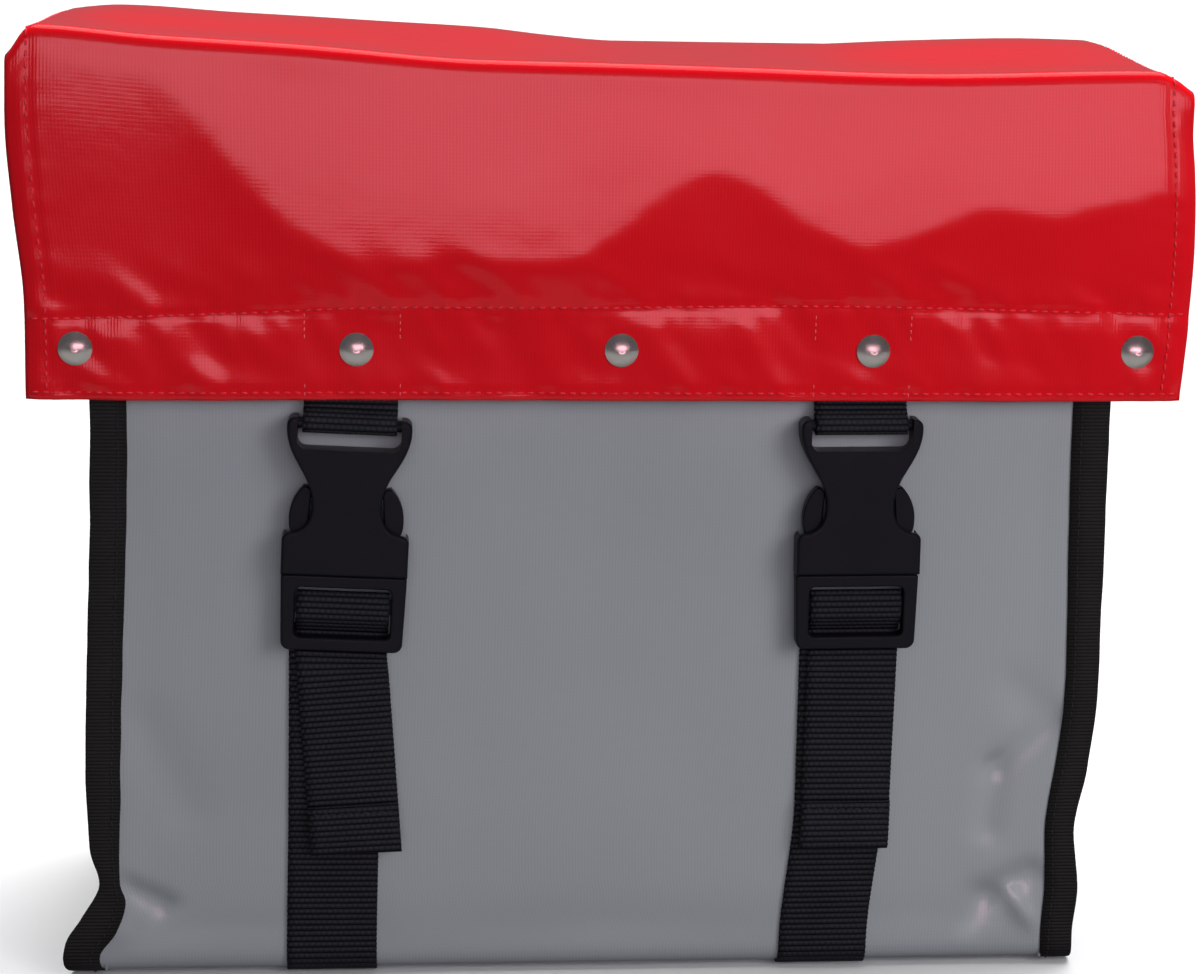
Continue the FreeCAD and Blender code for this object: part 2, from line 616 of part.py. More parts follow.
def plug_prong():
    """Right prong: a springy arm with a shoulder that bulges out of the socket's waist."""
    y = front_y(PRONG_BACK_PROUD)
    inner_root = Vector(PRONG_PIVOT_X - PRONG_ROOT_RADIUS, y, PRONG_PIVOT_Z)
    outer_root = Vector(PRONG_PIVOT_X + PRONG_ROOT_RADIUS, y, PRONG_PIVOT_Z)
    root_low = Vector(PRONG_PIVOT_X, y, PRONG_PIVOT_Z - PRONG_ROOT_RADIUS)
    inner_tip = Vector(15.4, y, 222.0)
    outer_tip = Vector(18.8, y, 227.0)
    shoulder = Vector(PRONG_SHOULDER_X, y, 211.5)
    neck = Vector(outer_root.x, y, 203.5)
    right = [
        arc(inner_root, root_low, outer_root),
        line(outer_root, neck),
        arc(neck, Vector(23.8, y, 207.0), shoulder),
        arc(shoulder, Vector(23.2, y, 220.3), outer_tip),
        arc(outer_tip, Vector(16.4, y, 226.2), inner_tip),
        line(inner_tip, inner_root),
    ]
    arm = extruded(right, Vector(0, PRONG_BACK_PROUD - PRONG_FRONT_PROUD, 0))
    return arm.makeFillet(PRONG_EDGE_RADIUS, edges_facing_front(arm, front_y(PRONG_FRONT_PROUD)))


def strap_loop():
    """Webbing threaded up behind the grip bar, over it, down through the lower slot and
    out behind the frame's bottom bar."""
    back = GRIP_BAR_BACK_PROUD - CLEARANCE
    front = GRIP_BAR_FRONT_PROUD + CLEARANCE
    bend_z = GRIP_BAR_TOP_Z + CLEARANCE
    middle_y = front_y((back + front) / 2)
    inner_radius = (front - back) / 2
    back_end_z = GRIP_BAR_LOW_Z - 2.5
    slope_top_z = GRIP_BAR_LOW_Z - 2 * CLEARANCE
    slope_low_z = PLUG_SLOT_LOW_Z + 1.5
    end_z = TAIL_PIVOT_Z + 1.2
    out_back = TAIL_BACK_PROUD
    corners = [
        Vector(0, front_y(back), bend_z),
        Vector(0, front_y(back), back_end_z),
        Vector(0, front_y(back - STRAP), back_end_z),
        Vector(0, front_y(back - STRAP), bend_z),
    ]
    run_back = [line(corners[i], corners[i + 1]) for i in range(3)]
    over = [
        arc(corners[3], on_circle(middle_y, bend_z, inner_radius + STRAP, 90),
            Vector(0, front_y(front + STRAP), bend_z)),
        arc(corners[0], on_circle(middle_y, bend_z, inner_radius, 90), Vector(0, front_y(front), bend_z)),
    ]
    outside = [
        Vector(0, front_y(front + STRAP), bend_z),
        Vector(0, front_y(front + STRAP), slope_top_z),
        Vector(0, front_y(out_back + STRAP), slope_low_z),
        Vector(0, front_y(out_back + STRAP), end_z),
        Vector(0, front_y(out_back), end_z),
        Vector(0, front_y(out_back), slope_low_z + 1),
        Vector(0, front_y(front), slope_top_z + CLEARANCE),
        Vector(0, front_y(front), bend_z),
    ]
    run_front = [line(outside[i], outside[i + 1]) for i in range(len(outside) - 1)]
    half = STRAP_WIDTH / 2
    return across(run_back + over + run_front, -half, half)


def strap_tail(skew):
    """Free end of the webbing, folded over and sewn at its tip. Its top is round about
    the line that it swings on."""
    half = STRAP_WIDTH / 2
    pivot_y = front_y(TAIL_PIVOT_PROUD)
    ply = front_block(half, TAIL_BACK_PROUD, TAIL_BACK_PROUD + STRAP,
                      TAIL_LOW_Z, TAIL_PIVOT_Z + TAIL_TRIM)
    top = Part.makeCylinder(STRAP / 2, STRAP_WIDTH, Vector(-half, pivot_y, TAIL_PIVOT_Z), Vector(1, 0, 0))
    fold = front_block(half, TAIL_BACK_PROUD + STRAP, TAIL_BACK_PROUD + 2 * STRAP,
                       TAIL_LOW_Z, TAIL_LOW_Z + TAIL_FOLD)
    hanging = as_one([ply, fold])
    hanging.rotate(Vector(0, pivot_y, TAIL_PIVOT_Z), Vector(0, 1, 0), skew)
    above_pivot = front_block(STRAP_WIDTH, 0, LID_PROUD, TAIL_PIVOT_Z, TAIL_PIVOT_Z + 4 * TAIL_TRIM)
    return as_one([hanging.cut(above_pivot), top])


def to_side(shape, side):
    """Lean a buckle piece about its strap's swing line and move it to its side."""
    placed = shape.copy()
    placed.rotate(Vector(0, 0, STRAP_HANG_Z), Vector(0, 1, 0), LEAN[side])
    placed.translate(Vector(STRAP_X[side], 0, 0))
    return placed


# ---------------------------------------------------------------------------
# Write one STEP file per piece
# ---------------------------------------------------------------------------

def bag_pieces():
    right_panel = side_panel()
    right_tape = binding_tape()
    return {
        "body_sheet": body_sheet(),
        "side_panel_left": mirrored(right_panel),
        "side_panel_right": right_panel,
        "binding_tape_left": mirrored(right_tape),
        "binding_tape_right": right_tape,
        "back_board": back_board(),
        "base_board": base_board(),
        "rack_hook_left": rack_hook(HOOK_X[0]),
        "rack_hook_right": rack_hook(HOOK_X[1]),
        "hook_backing_plate_left": backing_plate(HOOK_X[0]),
        "hook_backing_plate_right": backing_plate(HOOK_X[1]),
        "hook_rivets": Part.makeCompound([hook_rivet(x, z) for x in HOOK_X for z in HOOK_RIVET_Z]),
        "lid_hinge_tab": lid_hinge_tab(),
        "lid_top_panel": lid_top(),
        "lid_front_panel": lid_front(),
        "lid_hem_strip": hem_strip(),
        "rivet_caps": Part.makeCompound([rivet_cap(x) for x in RIVET_X]),
        "rivet_washers": Part.makeCompound([rivet_washer(x) for x in RIVET_X]),
    }


def strap_pieces(side):
    right_prong = plug_prong()
    return {
        "lower_strap_" + side: lower_strap(side),
        "upper_strap_anchor_" + side: strap_anchor(side),
        "upper_strap_" + side: to_side(upper_strap(), side),
        "buckle_socket_" + side: to_side(buckle_socket(), side),
        "buckle_plug_" + side: to_side(buckle_plug(), side),
        "plug_prong_a_" + side: to_side(mirrored(right_prong), side),
        "plug_prong_b_" + side: to_side(right_prong, side),
        "strap_loop_" + side: to_side(strap_loop(), side),
        "strap_tail_" + side: to_side(strap_tail(TAIL_SKEW[side]), side),
    }


def main():
    os.makedirs("parts", exist_ok=True)
    pieces = bag_pieces()
    for side in SIDES:
        pieces.update(strap_pieces(side))
    for name, shape in pieces.items():
        shape.exportStep(os.path.join("parts", name + ".step"))


main()
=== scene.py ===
import math

import bpy
import numpy as np
from mathutils import Matrix, Vector


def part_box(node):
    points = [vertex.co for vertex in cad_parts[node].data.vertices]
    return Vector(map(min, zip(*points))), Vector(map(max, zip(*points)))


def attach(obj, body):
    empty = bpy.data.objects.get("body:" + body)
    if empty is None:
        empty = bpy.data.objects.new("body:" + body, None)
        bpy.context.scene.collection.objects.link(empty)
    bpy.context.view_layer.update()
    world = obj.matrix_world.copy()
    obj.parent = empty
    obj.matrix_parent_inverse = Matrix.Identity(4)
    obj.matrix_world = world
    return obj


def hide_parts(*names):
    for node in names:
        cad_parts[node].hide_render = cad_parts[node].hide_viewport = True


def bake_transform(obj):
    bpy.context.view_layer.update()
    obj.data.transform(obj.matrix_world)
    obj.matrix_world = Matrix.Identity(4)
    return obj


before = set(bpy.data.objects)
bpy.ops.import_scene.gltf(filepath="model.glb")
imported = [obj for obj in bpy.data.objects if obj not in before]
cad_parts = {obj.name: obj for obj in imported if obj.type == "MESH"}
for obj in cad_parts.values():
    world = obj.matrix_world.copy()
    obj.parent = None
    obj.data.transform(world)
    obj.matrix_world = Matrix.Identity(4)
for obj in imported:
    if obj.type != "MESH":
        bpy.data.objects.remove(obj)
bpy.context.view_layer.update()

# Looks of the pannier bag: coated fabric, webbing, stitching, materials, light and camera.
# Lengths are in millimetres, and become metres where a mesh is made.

MM = 0.001

# ---------------------------------------------------------------------------
# Sizes
# ---------------------------------------------------------------------------


def box_mm(node):
    """Lowest and highest corner of a CAD node, in millimetres."""
    low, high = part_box(node)
    return np.array(low) / MM, np.array(high) / MM


BODY_LOW, BODY_HIGH = box_mm("body_sheet")
FRONT_Y = BODY_LOW[1]
BACK_Y = BODY_HIGH[1]
BASE_Z = BODY_LOW[2]
MOUTH_Z = BODY_HIGH[2]
FIN_X = BODY_HIGH[0]
SEAM_X = 206.0                  # half the width between the bindings
BOTTOM_RADIUS = 9.0
SHEET = 1.2
TAPE = 0.8

LID_HIGH = box_mm("lid_top_panel")[1]
LID_HALF = LID_HIGH[0]
LID_TOP_Z = LID_HIGH[2]
LID_FRONT_Y = box_mm("lid_front_panel")[0][1]
LID_LOW_Z = box_mm("lid_front_panel")[0][2]
HINGE_Y = BACK_Y + SHEET / 2
HINGE_Z = LID_TOP_Z - SHEET / 2
RIDGE_RADIUS = 4.5
RIDGE_SET_BACK = 2.0            # the ridge stands this far behind the hem
EDGE_STITCH_Z = LID_LOW_Z + 3.2
SIDE_STITCH_X = LID_HALF - 9.0
RIVET_Z = 287.0
RIVET_X = (-226.0, -108.0, 5.0, 114.0, 230.0)

STRAP = 1.5
STRAP_HALF = 20.0
SIDES = ("left", "right")
STRAP_X = {"left": -110.5, "right": 110.0}
LEAN = {"left": math.radians(2.5), "right": math.radians(-0.4)}
TAIL_SKEW = {"left": math.radians(-6.5), "right": math.radians(1.0)}
LOWER_STRAP_X = {"left": -118.0, "right": 107.0}
LEAN_Z = 262.0                  # buckles lean about this height
LOWER_STRAP_TOP_Z = 165.0
LOWER_STRAP_BACK_Z = 62.0
TAIL_PIVOT_Z = 151.6
TAIL_LOW_Z = 60.0
TAIL_FOLD = 22.0                # length folded up at the tail's tip

# ---------------------------------------------------------------------------
# Curves, fields and meshes
# ---------------------------------------------------------------------------


def through(points):
    """Smooth curve through (position, value) points that never overshoots them."""
    xs, ys = np.array(points, float).T
    rise = np.diff(ys) / np.diff(xs)
    slopes = np.zeros(len(xs))
    same_way = rise[1:] * rise[:-1] > 0
    slopes[1:-1][same_way] = 2 * rise[1:][same_way] * rise[:-1][same_way] / (
        rise[1:][same_way] + rise[:-1][same_way])

    def at(position):
        t = np.clip(position, xs[0], xs[-1])
        i = np.clip(np.searchsorted(xs, t) - 1, 0, len(xs) - 2)
        span = xs[i + 1] - xs[i]
        u = (t - xs[i]) / span
        keep = (1 + 2 * u) * (1 - u) ** 2
        return (keep * ys[i] + (1 - keep) * ys[i + 1]
                + span * u * (1 - u) * ((1 - u) * slopes[i] - u * slopes[i + 1]))

    return at


def ease(value, start, end):
    """Smooth step from 0 at start to 1 at end."""
    t = np.clip((value - start) / (end - start), 0, 1)
    return t * t * (3 - 2 * t)


def hump(value, centre, half_width):
    """Smooth bump that is 1 at the centre."""
    return np.exp(-((value - centre) / half_width) ** 2)


def random_field(u, v, seed):
    """Smooth random field between -1 and 1, with bumps about one unit apart."""
    table = np.random.default_rng(seed).uniform(-1, 1, (64, 64))
    u, v = np.broadcast_arrays(u, v)
    column, row = np.floor(u).astype(int), np.floor(v).astype(int)
    a, b = ease(u - column, 0, 1), ease(v - row, 0, 1)
    near = table[row % 64, column % 64] * (1 - a) + table[row % 64, (column + 1) % 64] * a
    far = table[(row + 1) % 64, column % 64] * (1 - a) + table[(row + 1) % 64, (column + 1) % 64] * a
    return near * (1 - b) + far * b


def steps(low, high, size):
    return np.linspace(low, high, max(2, round(abs(high - low) / size) + 1))


def grid_faces(rows, columns, closed=False):
    """Quads of a grid of points. A closed one joins its last column to its first."""
    row = np.arange(rows - 1)[:, None]
    column = np.arange(columns if closed else columns - 1)[None, :]
    after = (column + 1) % columns
    corners = [row * columns + column, (row + 1) * columns + column,
               (row + 1) * columns + after, row * columns + after]
    return np.stack(corners, -1).reshape(-1, 4).tolist()


def add_mesh(name, points, faces, material, uv=None):
    """Smooth-shaded mesh object. points are in millimetres, uv in metres."""
    mesh = bpy.data.meshes.new(name)
    mesh.from_pydata((np.asarray(points, float).reshape(-1, 3) * MM).tolist(), [], faces)
    if uv is not None:
        corner_vertex = np.zeros(len(mesh.loops), int)
        mesh.loops.foreach_get("vertex_index", corner_vertex)
        layer = mesh.uv_layers.new(name="UVMap")
        layer.data.foreach_set("uv", np.asarray(uv, float).reshape(-1, 2)[corner_vertex].ravel())
    mesh.polygons.foreach_set("use_smooth", [True] * len(mesh.polygons))
    mesh.materials.append(material)
    piece = bpy.data.objects.new(name, mesh)
    bpy.context.scene.collection.objects.link(piece)
    return piece


def thicken(piece, thickness, offset=-1.0):
    """Give a sheet its real thickness, on the side away from its normals if offset is -1."""
    solid = piece.modifiers.new("thickness", "SOLIDIFY")
    solid.thickness = thickness * MM
    solid.offset = offset
    return piece


def sheet_mesh(name, surface, u, v, material, thickness=SHEET):
    """Sheet over the surface function, which maps arrays of u and v to points.
    Its normals point along the cross product of the v and u directions."""
    grid_u, grid_v = np.meshgrid(u, v)
    points = surface(grid_u, grid_v)
    uv = np.stack([grid_u, grid_v], -1) * MM
    piece = add_mesh(name, points, grid_faces(len(v), len(u)), material, uv)
    return thicken(piece, thickness)


def between(start, end, pitch):
    """Evenly spaced (u, v) places from start to end, half a pitch in from both."""
    start, end = np.array(start, float), np.array(end, float)
    count = int(np.linalg.norm(end - start) / pitch)
    return start + (end - start) * ((np.arange(count) + 0.5) / count)[:, None]


def along(surface, places):
    """Points, directions and outward normals of stitches at (u, v) places on a surface."""
    small = 0.5
    u, v = places.T
    heading = np.gradient(places, axis=0)
    heading /= np.linalg.norm(heading, axis=1)[:, None]
    centre = surface(u, v)
    directions = surface(u + heading[:, 0] * small, v + heading[:, 1] * small) - centre
    normals = np.cross(surface(u, v + small) - centre, surface(u + small, v) - centre)
    normals /= np.linalg.norm(normals, axis=1)[:, None]
    directions /= np.linalg.norm(directions, axis=1)[:, None]
    return centre, directions, normals


def stitch_mesh(name, rows, length, radius, material, seed=5):
    """Rows of thread stitches, each a short spindle that lies on the fabric."""
    # Place along the stitch, width and lift of each ring of the spindle
    ring_places = ((-0.5, 0.25, -0.5), (-0.3, 0.9, 0.35), (0.0, 1.0, 0.6),
                   (0.3, 0.9, 0.35), (0.5, 0.25, -0.5))
    sides = 6
    angles = np.arange(sides) * 2 * math.pi / sides
    random = np.random.default_rng(seed)
    points, faces = [], []
    for centres, directions, normals in rows:
        for centre, direction, normal in zip(centres, directions, normals):
            turn = random.normal(0, 0.09)
            side = np.cross(direction, normal)
            heading = direction * math.cos(turn) + side * math.sin(turn)
            side = np.cross(heading, normal)
            first = len(points)
            for place, width, lift in ring_places:
                middle = centre + heading * place * length + normal * lift * radius
                for angle in angles:
                    round_it = side * math.cos(angle) + normal * math.sin(angle)
                    points.append(middle + round_it * radius * width)
            for quad in grid_faces(len(ring_places), sides, closed=True):
                faces.append([first + corner for corner in quad])
            faces.append([first + k for k in range(sides)])
            last = first + (len(ring_places) - 1) * sides
            faces.append([last + k for k in reversed(range(sides))])
    return add_mesh(name, points, faces, material)


# ---------------------------------------------------------------------------
# Materials
# ---------------------------------------------------------------------------


class Look:
    """Builds one procedural material around a Principled shader."""

    def __init__(self, name, colour, roughness, **sockets):
        self.material = bpy.data.materials.new(name)
        self.material.use_nodes = True
        self.nodes = self.material.node_tree.nodes
        self.links = self.material.node_tree.links
        self.surface = self.nodes["Principled BSDF"]
        self.put("Base Color", (*colour, 1.0))
        self.put("Roughness", roughness)
        for socket, value in sockets.items():
            self.put(socket.replace("_", " "), value)

    def put(self, socket, value):
        """Set a socket of the shader to a number, a colour or another node's output."""
        if isinstance(value, bpy.types.NodeSocket):
            self.links.new(value, self.surface.inputs[socket])
        else:
            self.surface.inputs[socket].default_value = value

    def node(self, kind, inputs=(), **settings):
        made = self.nodes.new(kind)
        for key, value in settings.items():
            setattr(made, key, value)
        for key, value in dict(inputs).items():
            if isinstance(value, bpy.types.NodeSocket):
                self.links.new(value, made.inputs[key])
            else:
                made.inputs[key].default_value = value
        return made

    def math(self, operation, first, second=0.0):
        return self.node("ShaderNodeMath", {0: first, 1: second}, operation=operation).outputs[0]

    def uv(self):
        """The two fabric coordinates, in metres along the cloth."""
        coordinates = self.node("ShaderNodeUVMap").outputs["UV"]
        split = self.node("ShaderNodeSeparateXYZ", {"Vector": coordinates})
        return split.outputs["X"], split.outputs["Y"]

    def place(self):
        """Position on the piece, in metres."""
        return self.node("ShaderNodeTexCoord").outputs["Object"]

    def noise(self, scale, detail=3.0):
        settings = {"Vector": self.place(), "Scale": scale, "Detail": detail}
        return self.node("ShaderNodeTexNoise", settings).outputs["Fac"]

    def wave(self, coordinate, pitch):
        """Sine of the coordinate with that pitch in metres."""
        return self.math("SINE", self.math("MULTIPLY", coordinate, 2 * math.pi / pitch))

    def spread(self, value, low, high):
        """Map 0..1 to low..high."""
        settings = {"Value": value, "To Min": low, "To Max": high}
        return self.node("ShaderNodeMapRange", settings).outputs["Result"]

    def vary_colour(self, colour, value, amount):
        """Colour made lighter and darker by the value, which lies about 0.5."""
        low = [c * (1 - amount) for c in colour] + [1.0]
        high = [min(1.0, c * (1 + amount)) for c in colour] + [1.0]
        mix = self.node("ShaderNodeMix", {"Factor": value}, data_type="RGBA")
        mix.inputs[6].default_value = low
        mix.inputs[7].default_value = high
        self.put("Base Color", mix.outputs[2])
        return self

    def bump(self, height, distance, strength=1.0, below=None):
        inputs = {"Height": height, "Distance": distance, "Strength": strength}
        if below is not None:
            inputs["Normal"] = below
        return self.node("ShaderNodeBump", inputs).outputs["Normal"]


def coated_fabric(name, colour, roughness, specular):
    """Woven cloth with a glossy coating: the weave shows faintly through it."""
    look = Look(name, colour, roughness, Specular_IOR_Level=specular)
    u, v = look.uv()
    weave = look.math("ADD", look.wave(u, 0.0014), look.math("MULTIPLY", look.wave(v, 0.0016), 0.3))
    ripples = look.bump(look.noise(55.0, 2.0), 0.0006, 0.25)
    look.put("Normal", look.bump(weave, 0.00001, 1.0, ripples))
    look.put("Roughness", look.spread(look.noise(38.0), roughness * 0.8, roughness * 1.25))
    # Colour: a little lighter on the weave's crests and darker in its troughs, a painted highlight and
    # painted shade, with a random mottle of tone from the noise.
    look.vary_colour(colour, look.math("ADD", look.math("MULTIPLY", weave, 0.2), look.noise(9.0, 1.0)), 0.05)
    return look.material


def webbing(name, colour, rib_pitch, dash_pitch):
    """Ribbed webbing: rows across it, each broken into short dashes that step from row to row."""
    look = Look(name, colour, 0.66, Specular_IOR_Level=0.2)
    u, v = look.uv()
    row_place = look.math("DIVIDE", v, rib_pitch)
    rib = look.math("ABSOLUTE", look.math("SINE", look.math("MULTIPLY", row_place, math.pi)))
    step = look.math("MULTIPLY", look.math("FLOOR", row_place), 0.5)
    dash_place = look.math("ADD", look.math("DIVIDE", u, dash_pitch), step)
    dash = look.math("ABSOLUTE", look.math("SINE", look.math("MULTIPLY", dash_place, math.pi)))
    crown = look.math("POWER", rib, 0.6)
    broken = look.math("ADD", look.math("MULTIPLY", dash, 0.32), 0.68)
    height = look.math("MULTIPLY", crown, broken)
    look.put("Normal", look.bump(height, 0.0010, 1.0))
    look.put("Specular IOR Level", look.math("MULTIPLY", height, 0.34))
    # Colour: lighter on the rib crowns and darker between the ribs, a painted highlight and painted shade,
    # with a random mottle of tone from the noise.
    tone_mottle = look.math("MULTIPLY", look.noise(60.0), 0.5)
    look.vary_colour(colour, look.math("ADD", look.math("MULTIPLY", height, 0.7), tone_mottle), 0.75)
    return look.material


def ribbed_tape(name, colour, rib_pitch):
    """Woven tape with plain fine ribs across it."""
    look = Look(name, colour, 0.7, Specular_IOR_Level=0.18)
    rib = look.math("POWER", look.math("ABSOLUTE", look.wave(look.uv()[1], rib_pitch * 2)), 0.7)
    height = look.math("ADD", rib, look.math("MULTIPLY", look.noise(900.0, 2.0), 0.4))
    look.put("Normal", look.bump(height, 0.0004, 0.9))
    # Colour: lighter on the rib crowns and darker between the ribs, a painted highlight and painted shade,
    # with a random mottle of tone from the noise.
    look.vary_colour(colour, look.math("MULTIPLY", look.math("ADD", rib, look.noise(70.0)), 0.5), 0.55)
    return look.material


def moulded(name, colour, roughness, grain=2600.0):
    """Moulded plastic with a fine matt grain and slight scuffs."""
    look = Look(name, colour, roughness, Specular_IOR_Level=0.15)
    fine = look.bump(look.noise(grain, 2.0), 0.00006, 0.35)
    look.put("Normal", look.bump(look.noise(90.0, 3.0), 0.0002, 0.06, fine))
    look.put("Roughness", look.spread(look.noise(70.0, 4.0), roughness * 0.85, roughness * 1.2))
    return look.vary_colour(colour, look.noise(120.0, 4.0), 0.25).material


def metal(name, colour, roughness):
    look = Look(name, colour, roughness, Metallic=1.0)
    look.put("Roughness", look.spread(look.noise(400.0, 4.0), roughness * 0.6, roughness * 1.5))
    look.put("Normal", look.bump(look.noise(600.0, 2.0), 0.00005, 0.12))
    return look.material


RED_COLOUR = (0.60, 0.0022, 0.0078)
GREY_COLOUR = (0.272, 0.284, 0.294)
RED = coated_fabric("red_coated_cloth", RED_COLOUR, 0.14, 0.30)
GREY = coated_fabric("grey_coated_cloth", GREY_COLOUR, 0.22, 0.46)
BLACK_STRAP = webbing("black_webbing_weave", (0.0062, 0.0068, 0.0090), 0.0026, 0.0025)
BLACK_TAPE = ribbed_tape("black_tape_weave", (0.0085, 0.0080, 0.0076), 0.0016)
RED_THREAD = Look("red_thread", (0.64, 0.016, 0.028), 0.5, Specular_IOR_Level=0.4).material
PALE_THREAD = Look("pale_thread", (0.70, 0.12, 0.13), 0.55, Specular_IOR_Level=0.3).material
BLACK_THREAD = Look("black_thread", (0.014, 0.014, 0.016), 0.6, Specular_IOR_Level=0.25).material
BUCKLE_PLASTIC = moulded("buckle_plastic", (0.0026, 0.0030, 0.0052), 0.40)
BOARD_PLASTIC = moulded("board_plastic", (0.05, 0.05, 0.052), 0.55, 900.0)
HOOK_PLASTIC = moulded("hook_plastic", (0.018, 0.018, 0.019), 0.38)
NICKEL = metal("nickel", (0.56, 0.50, 0.48), 0.30)
ALUMINIUM = metal("aluminium", (0.70, 0.71, 0.72), 0.34)

# ---------------------------------------------------------------------------
# Bag body
# ---------------------------------------------------------------------------

FRONT_RUN = MOUTH_Z - BASE_Z - BOTTOM_RADIUS
TURN_RUN = BOTTOM_RADIUS * math.pi / 2
BOTTOM_START = FRONT_RUN + TURN_RUN
BOTTOM_END = BOTTOM_START + BACK_Y - FRONT_Y - 2 * BOTTOM_RADIUS
BACK_START = BOTTOM_END + TURN_RUN
WRAP_END = BACK_START + FRONT_RUN
MOUTH_SAG = 4.0                 # the front of the mouth hangs this far below its back


def wrap(s):
    """Place and outward direction at length s down the front, under the bottom and up the back."""
    s = np.asarray(s, float)
    front_turn = np.clip((s - FRONT_RUN) / BOTTOM_RADIUS, 0, math.pi / 2)
    back_turn = np.clip((s - BOTTOM_END) / BOTTOM_RADIUS, 0, math.pi / 2)
    sag = MOUTH_SAG * ease(s, 70, 0)
    y = (FRONT_Y + BOTTOM_RADIUS * (1 - np.cos(front_turn))
         + np.clip(s - BOTTOM_START, 0, BOTTOM_END - BOTTOM_START) + BOTTOM_RADIUS * np.sin(back_turn))
    z = (MOUTH_Z - sag - np.clip(s, 0, FRONT_RUN) - BOTTOM_RADIUS * np.sin(front_turn)
         + BOTTOM_RADIUS * (1 - np.cos(back_turn)) + np.clip(s - BACK_START, 0, FRONT_RUN))
    angle = front_turn + back_turn
    return y, z, -np.cos(angle), -np.sin(angle)


# Where each binding's inner and outer edges lie along that length. The lower left corner
# of the seam stands out to the side, and the lower right one is drawn in.
SEAM_LINES = {
    "left": (through([(0, -206), (143, -206), (276, -211), (318, -212.7), (362, -213.8), (370, -211.5),
                      (385, -216), (397, -223.5), (412, -221), (445, -211), (500, -207), (567, -207),
                      (977, -206)]),
             through([(0, -221.8), (143, -222), (276, -226.5), (318, -228), (345, -227), (362, -223),
                      (378, -231), (390, -238.5), (398, -240), (412, -236), (445, -226), (500, -222.5),
                      (567, -223), (600, -224.5), (977, -221.8)])),
    "right": (through([(0, 205.5), (142, 205), (279, 208.6), (312, 205.8), (341, 202.8), (371, 204.4),
                       (391, 203.6), (410, 204.5), (500, 206), (977, 206)]),
              through([(0, 221.8), (142, 222), (279, 224), (312, 221.5), (341, 217), (371, 220),
                       (391, 218.6), (410, 219.5), (500, 221.8), (977, 221.8)])),
}


def seam_line(side, s):
    """The binding's inner and outer x at length s, with the unevenness of a hand-fed seam."""
    inner, outer = SEAM_LINES[side]
    seed = SIDES.index(side)
    inner_wander = 0.35 * random_field(s / 14.0, 0.5, 30 + seed)
    outer_wander = 0.3 * random_field(s / 22.0, 0.5, 34 + seed)
    return inner(s) + inner_wander, outer(s) + outer_wander


def crease(x, z, ends, depth, width):
    """Valley, or a ridge if depth is positive, that fades out sideways from a line."""
    (x0, z0), (x1, z1) = ends
    dx, dz = x1 - x0, z1 - z0
    t = np.clip(((x - x0) * dx + (z - z0) * dz) / (dx * dx + dz * dz), 0, 1)
    distance = np.hypot(x - x0 - t * dx, z - z0 - t * dz)
    return depth * np.exp(-(distance / width) ** 2)


CREASES = (
    (((204, 120), (180, 95)), -2.3, 6.5),
    (((180, 95), (180, 66)), -2.2, 6.5),
    (((184, 133), (190, 126)), -1.4, 9.0),
    (((200, 45), (179, 33)), -2.5, 6.0),
    (((179, 33), (173, 14)), -2.3, 6.0),
    (((190, 36), (204, 16)), 2.6, 3.6),
    (((183, 14), (186, 10)), 1.2, 4.0),
    (((-214, 48), (-190, 34)), -2.6, 5.5),
    (((-214, 32), (-198, 12)), 2.2, 4.0),
    (((-196, 118), (-178, 80)), -1.3, 11.0),
)


def swell(x, s):
    """How far the cloth stands out of the bag's plain shape."""
    x, s = np.broadcast_arrays(np.asarray(x, float), np.asarray(s, float))
    z = MOUTH_Z - s
    loose = 0.9 * random_field(x / 80.0 + 9, s / 85.0, 11) + 0.28 * random_field(x / 31.0, s / 37.0, 12)
    loose = loose - 0.5
    on_strap = np.zeros_like(x)
    for side in SIDES:
        on_strap = np.maximum(on_strap, hump(x, LOWER_STRAP_X[side] + 3, 34) * ease(s, 90, 130))
    loose = np.where(loose > 0, loose * (1 - on_strap), loose)
    held = ease(np.abs(x), SEAM_X, SEAM_X - 14) * ease(s, 0, 25)
    on_front = ease(s, FRONT_RUN, FRONT_RUN - 16)
    on_back = ease(s, BACK_START, BACK_START + 30) * 0.35
    dents = sum(crease(x, z, ends, depth, width) for ends, depth, width in CREASES)
    dents = dents * ease(np.abs(x), SEAM_X + 2, SEAM_X - 5) * on_front
    return loose * held * (on_front + on_back) + dents


def fabric_x(x, s):
    """Where a point of the cloth ends up across the bag, between the two seams and in their fins."""
    left_in, left_out = seam_line("left", s)
    right_in, right_out = seam_line("right", s)
    middle = left_in + (x + SEAM_X) / (2 * SEAM_X) * (right_in - left_in)
    share = (np.abs(x) - SEAM_X) / (FIN_X - SEAM_X)
    left_fin = left_in + share * (left_out + TAPE - left_in)
    right_fin = right_in + share * (right_out - TAPE - right_in)
    return np.where(x < -SEAM_X, left_fin, np.where(x > SEAM_X, right_fin, middle))


def body_surface(x, s):
    y, z, out_y, out_z = wrap(s)
    out = swell(x, s)
    return np.stack([fabric_x(x, s), y + out_y * out, z + out_z * out], -1)


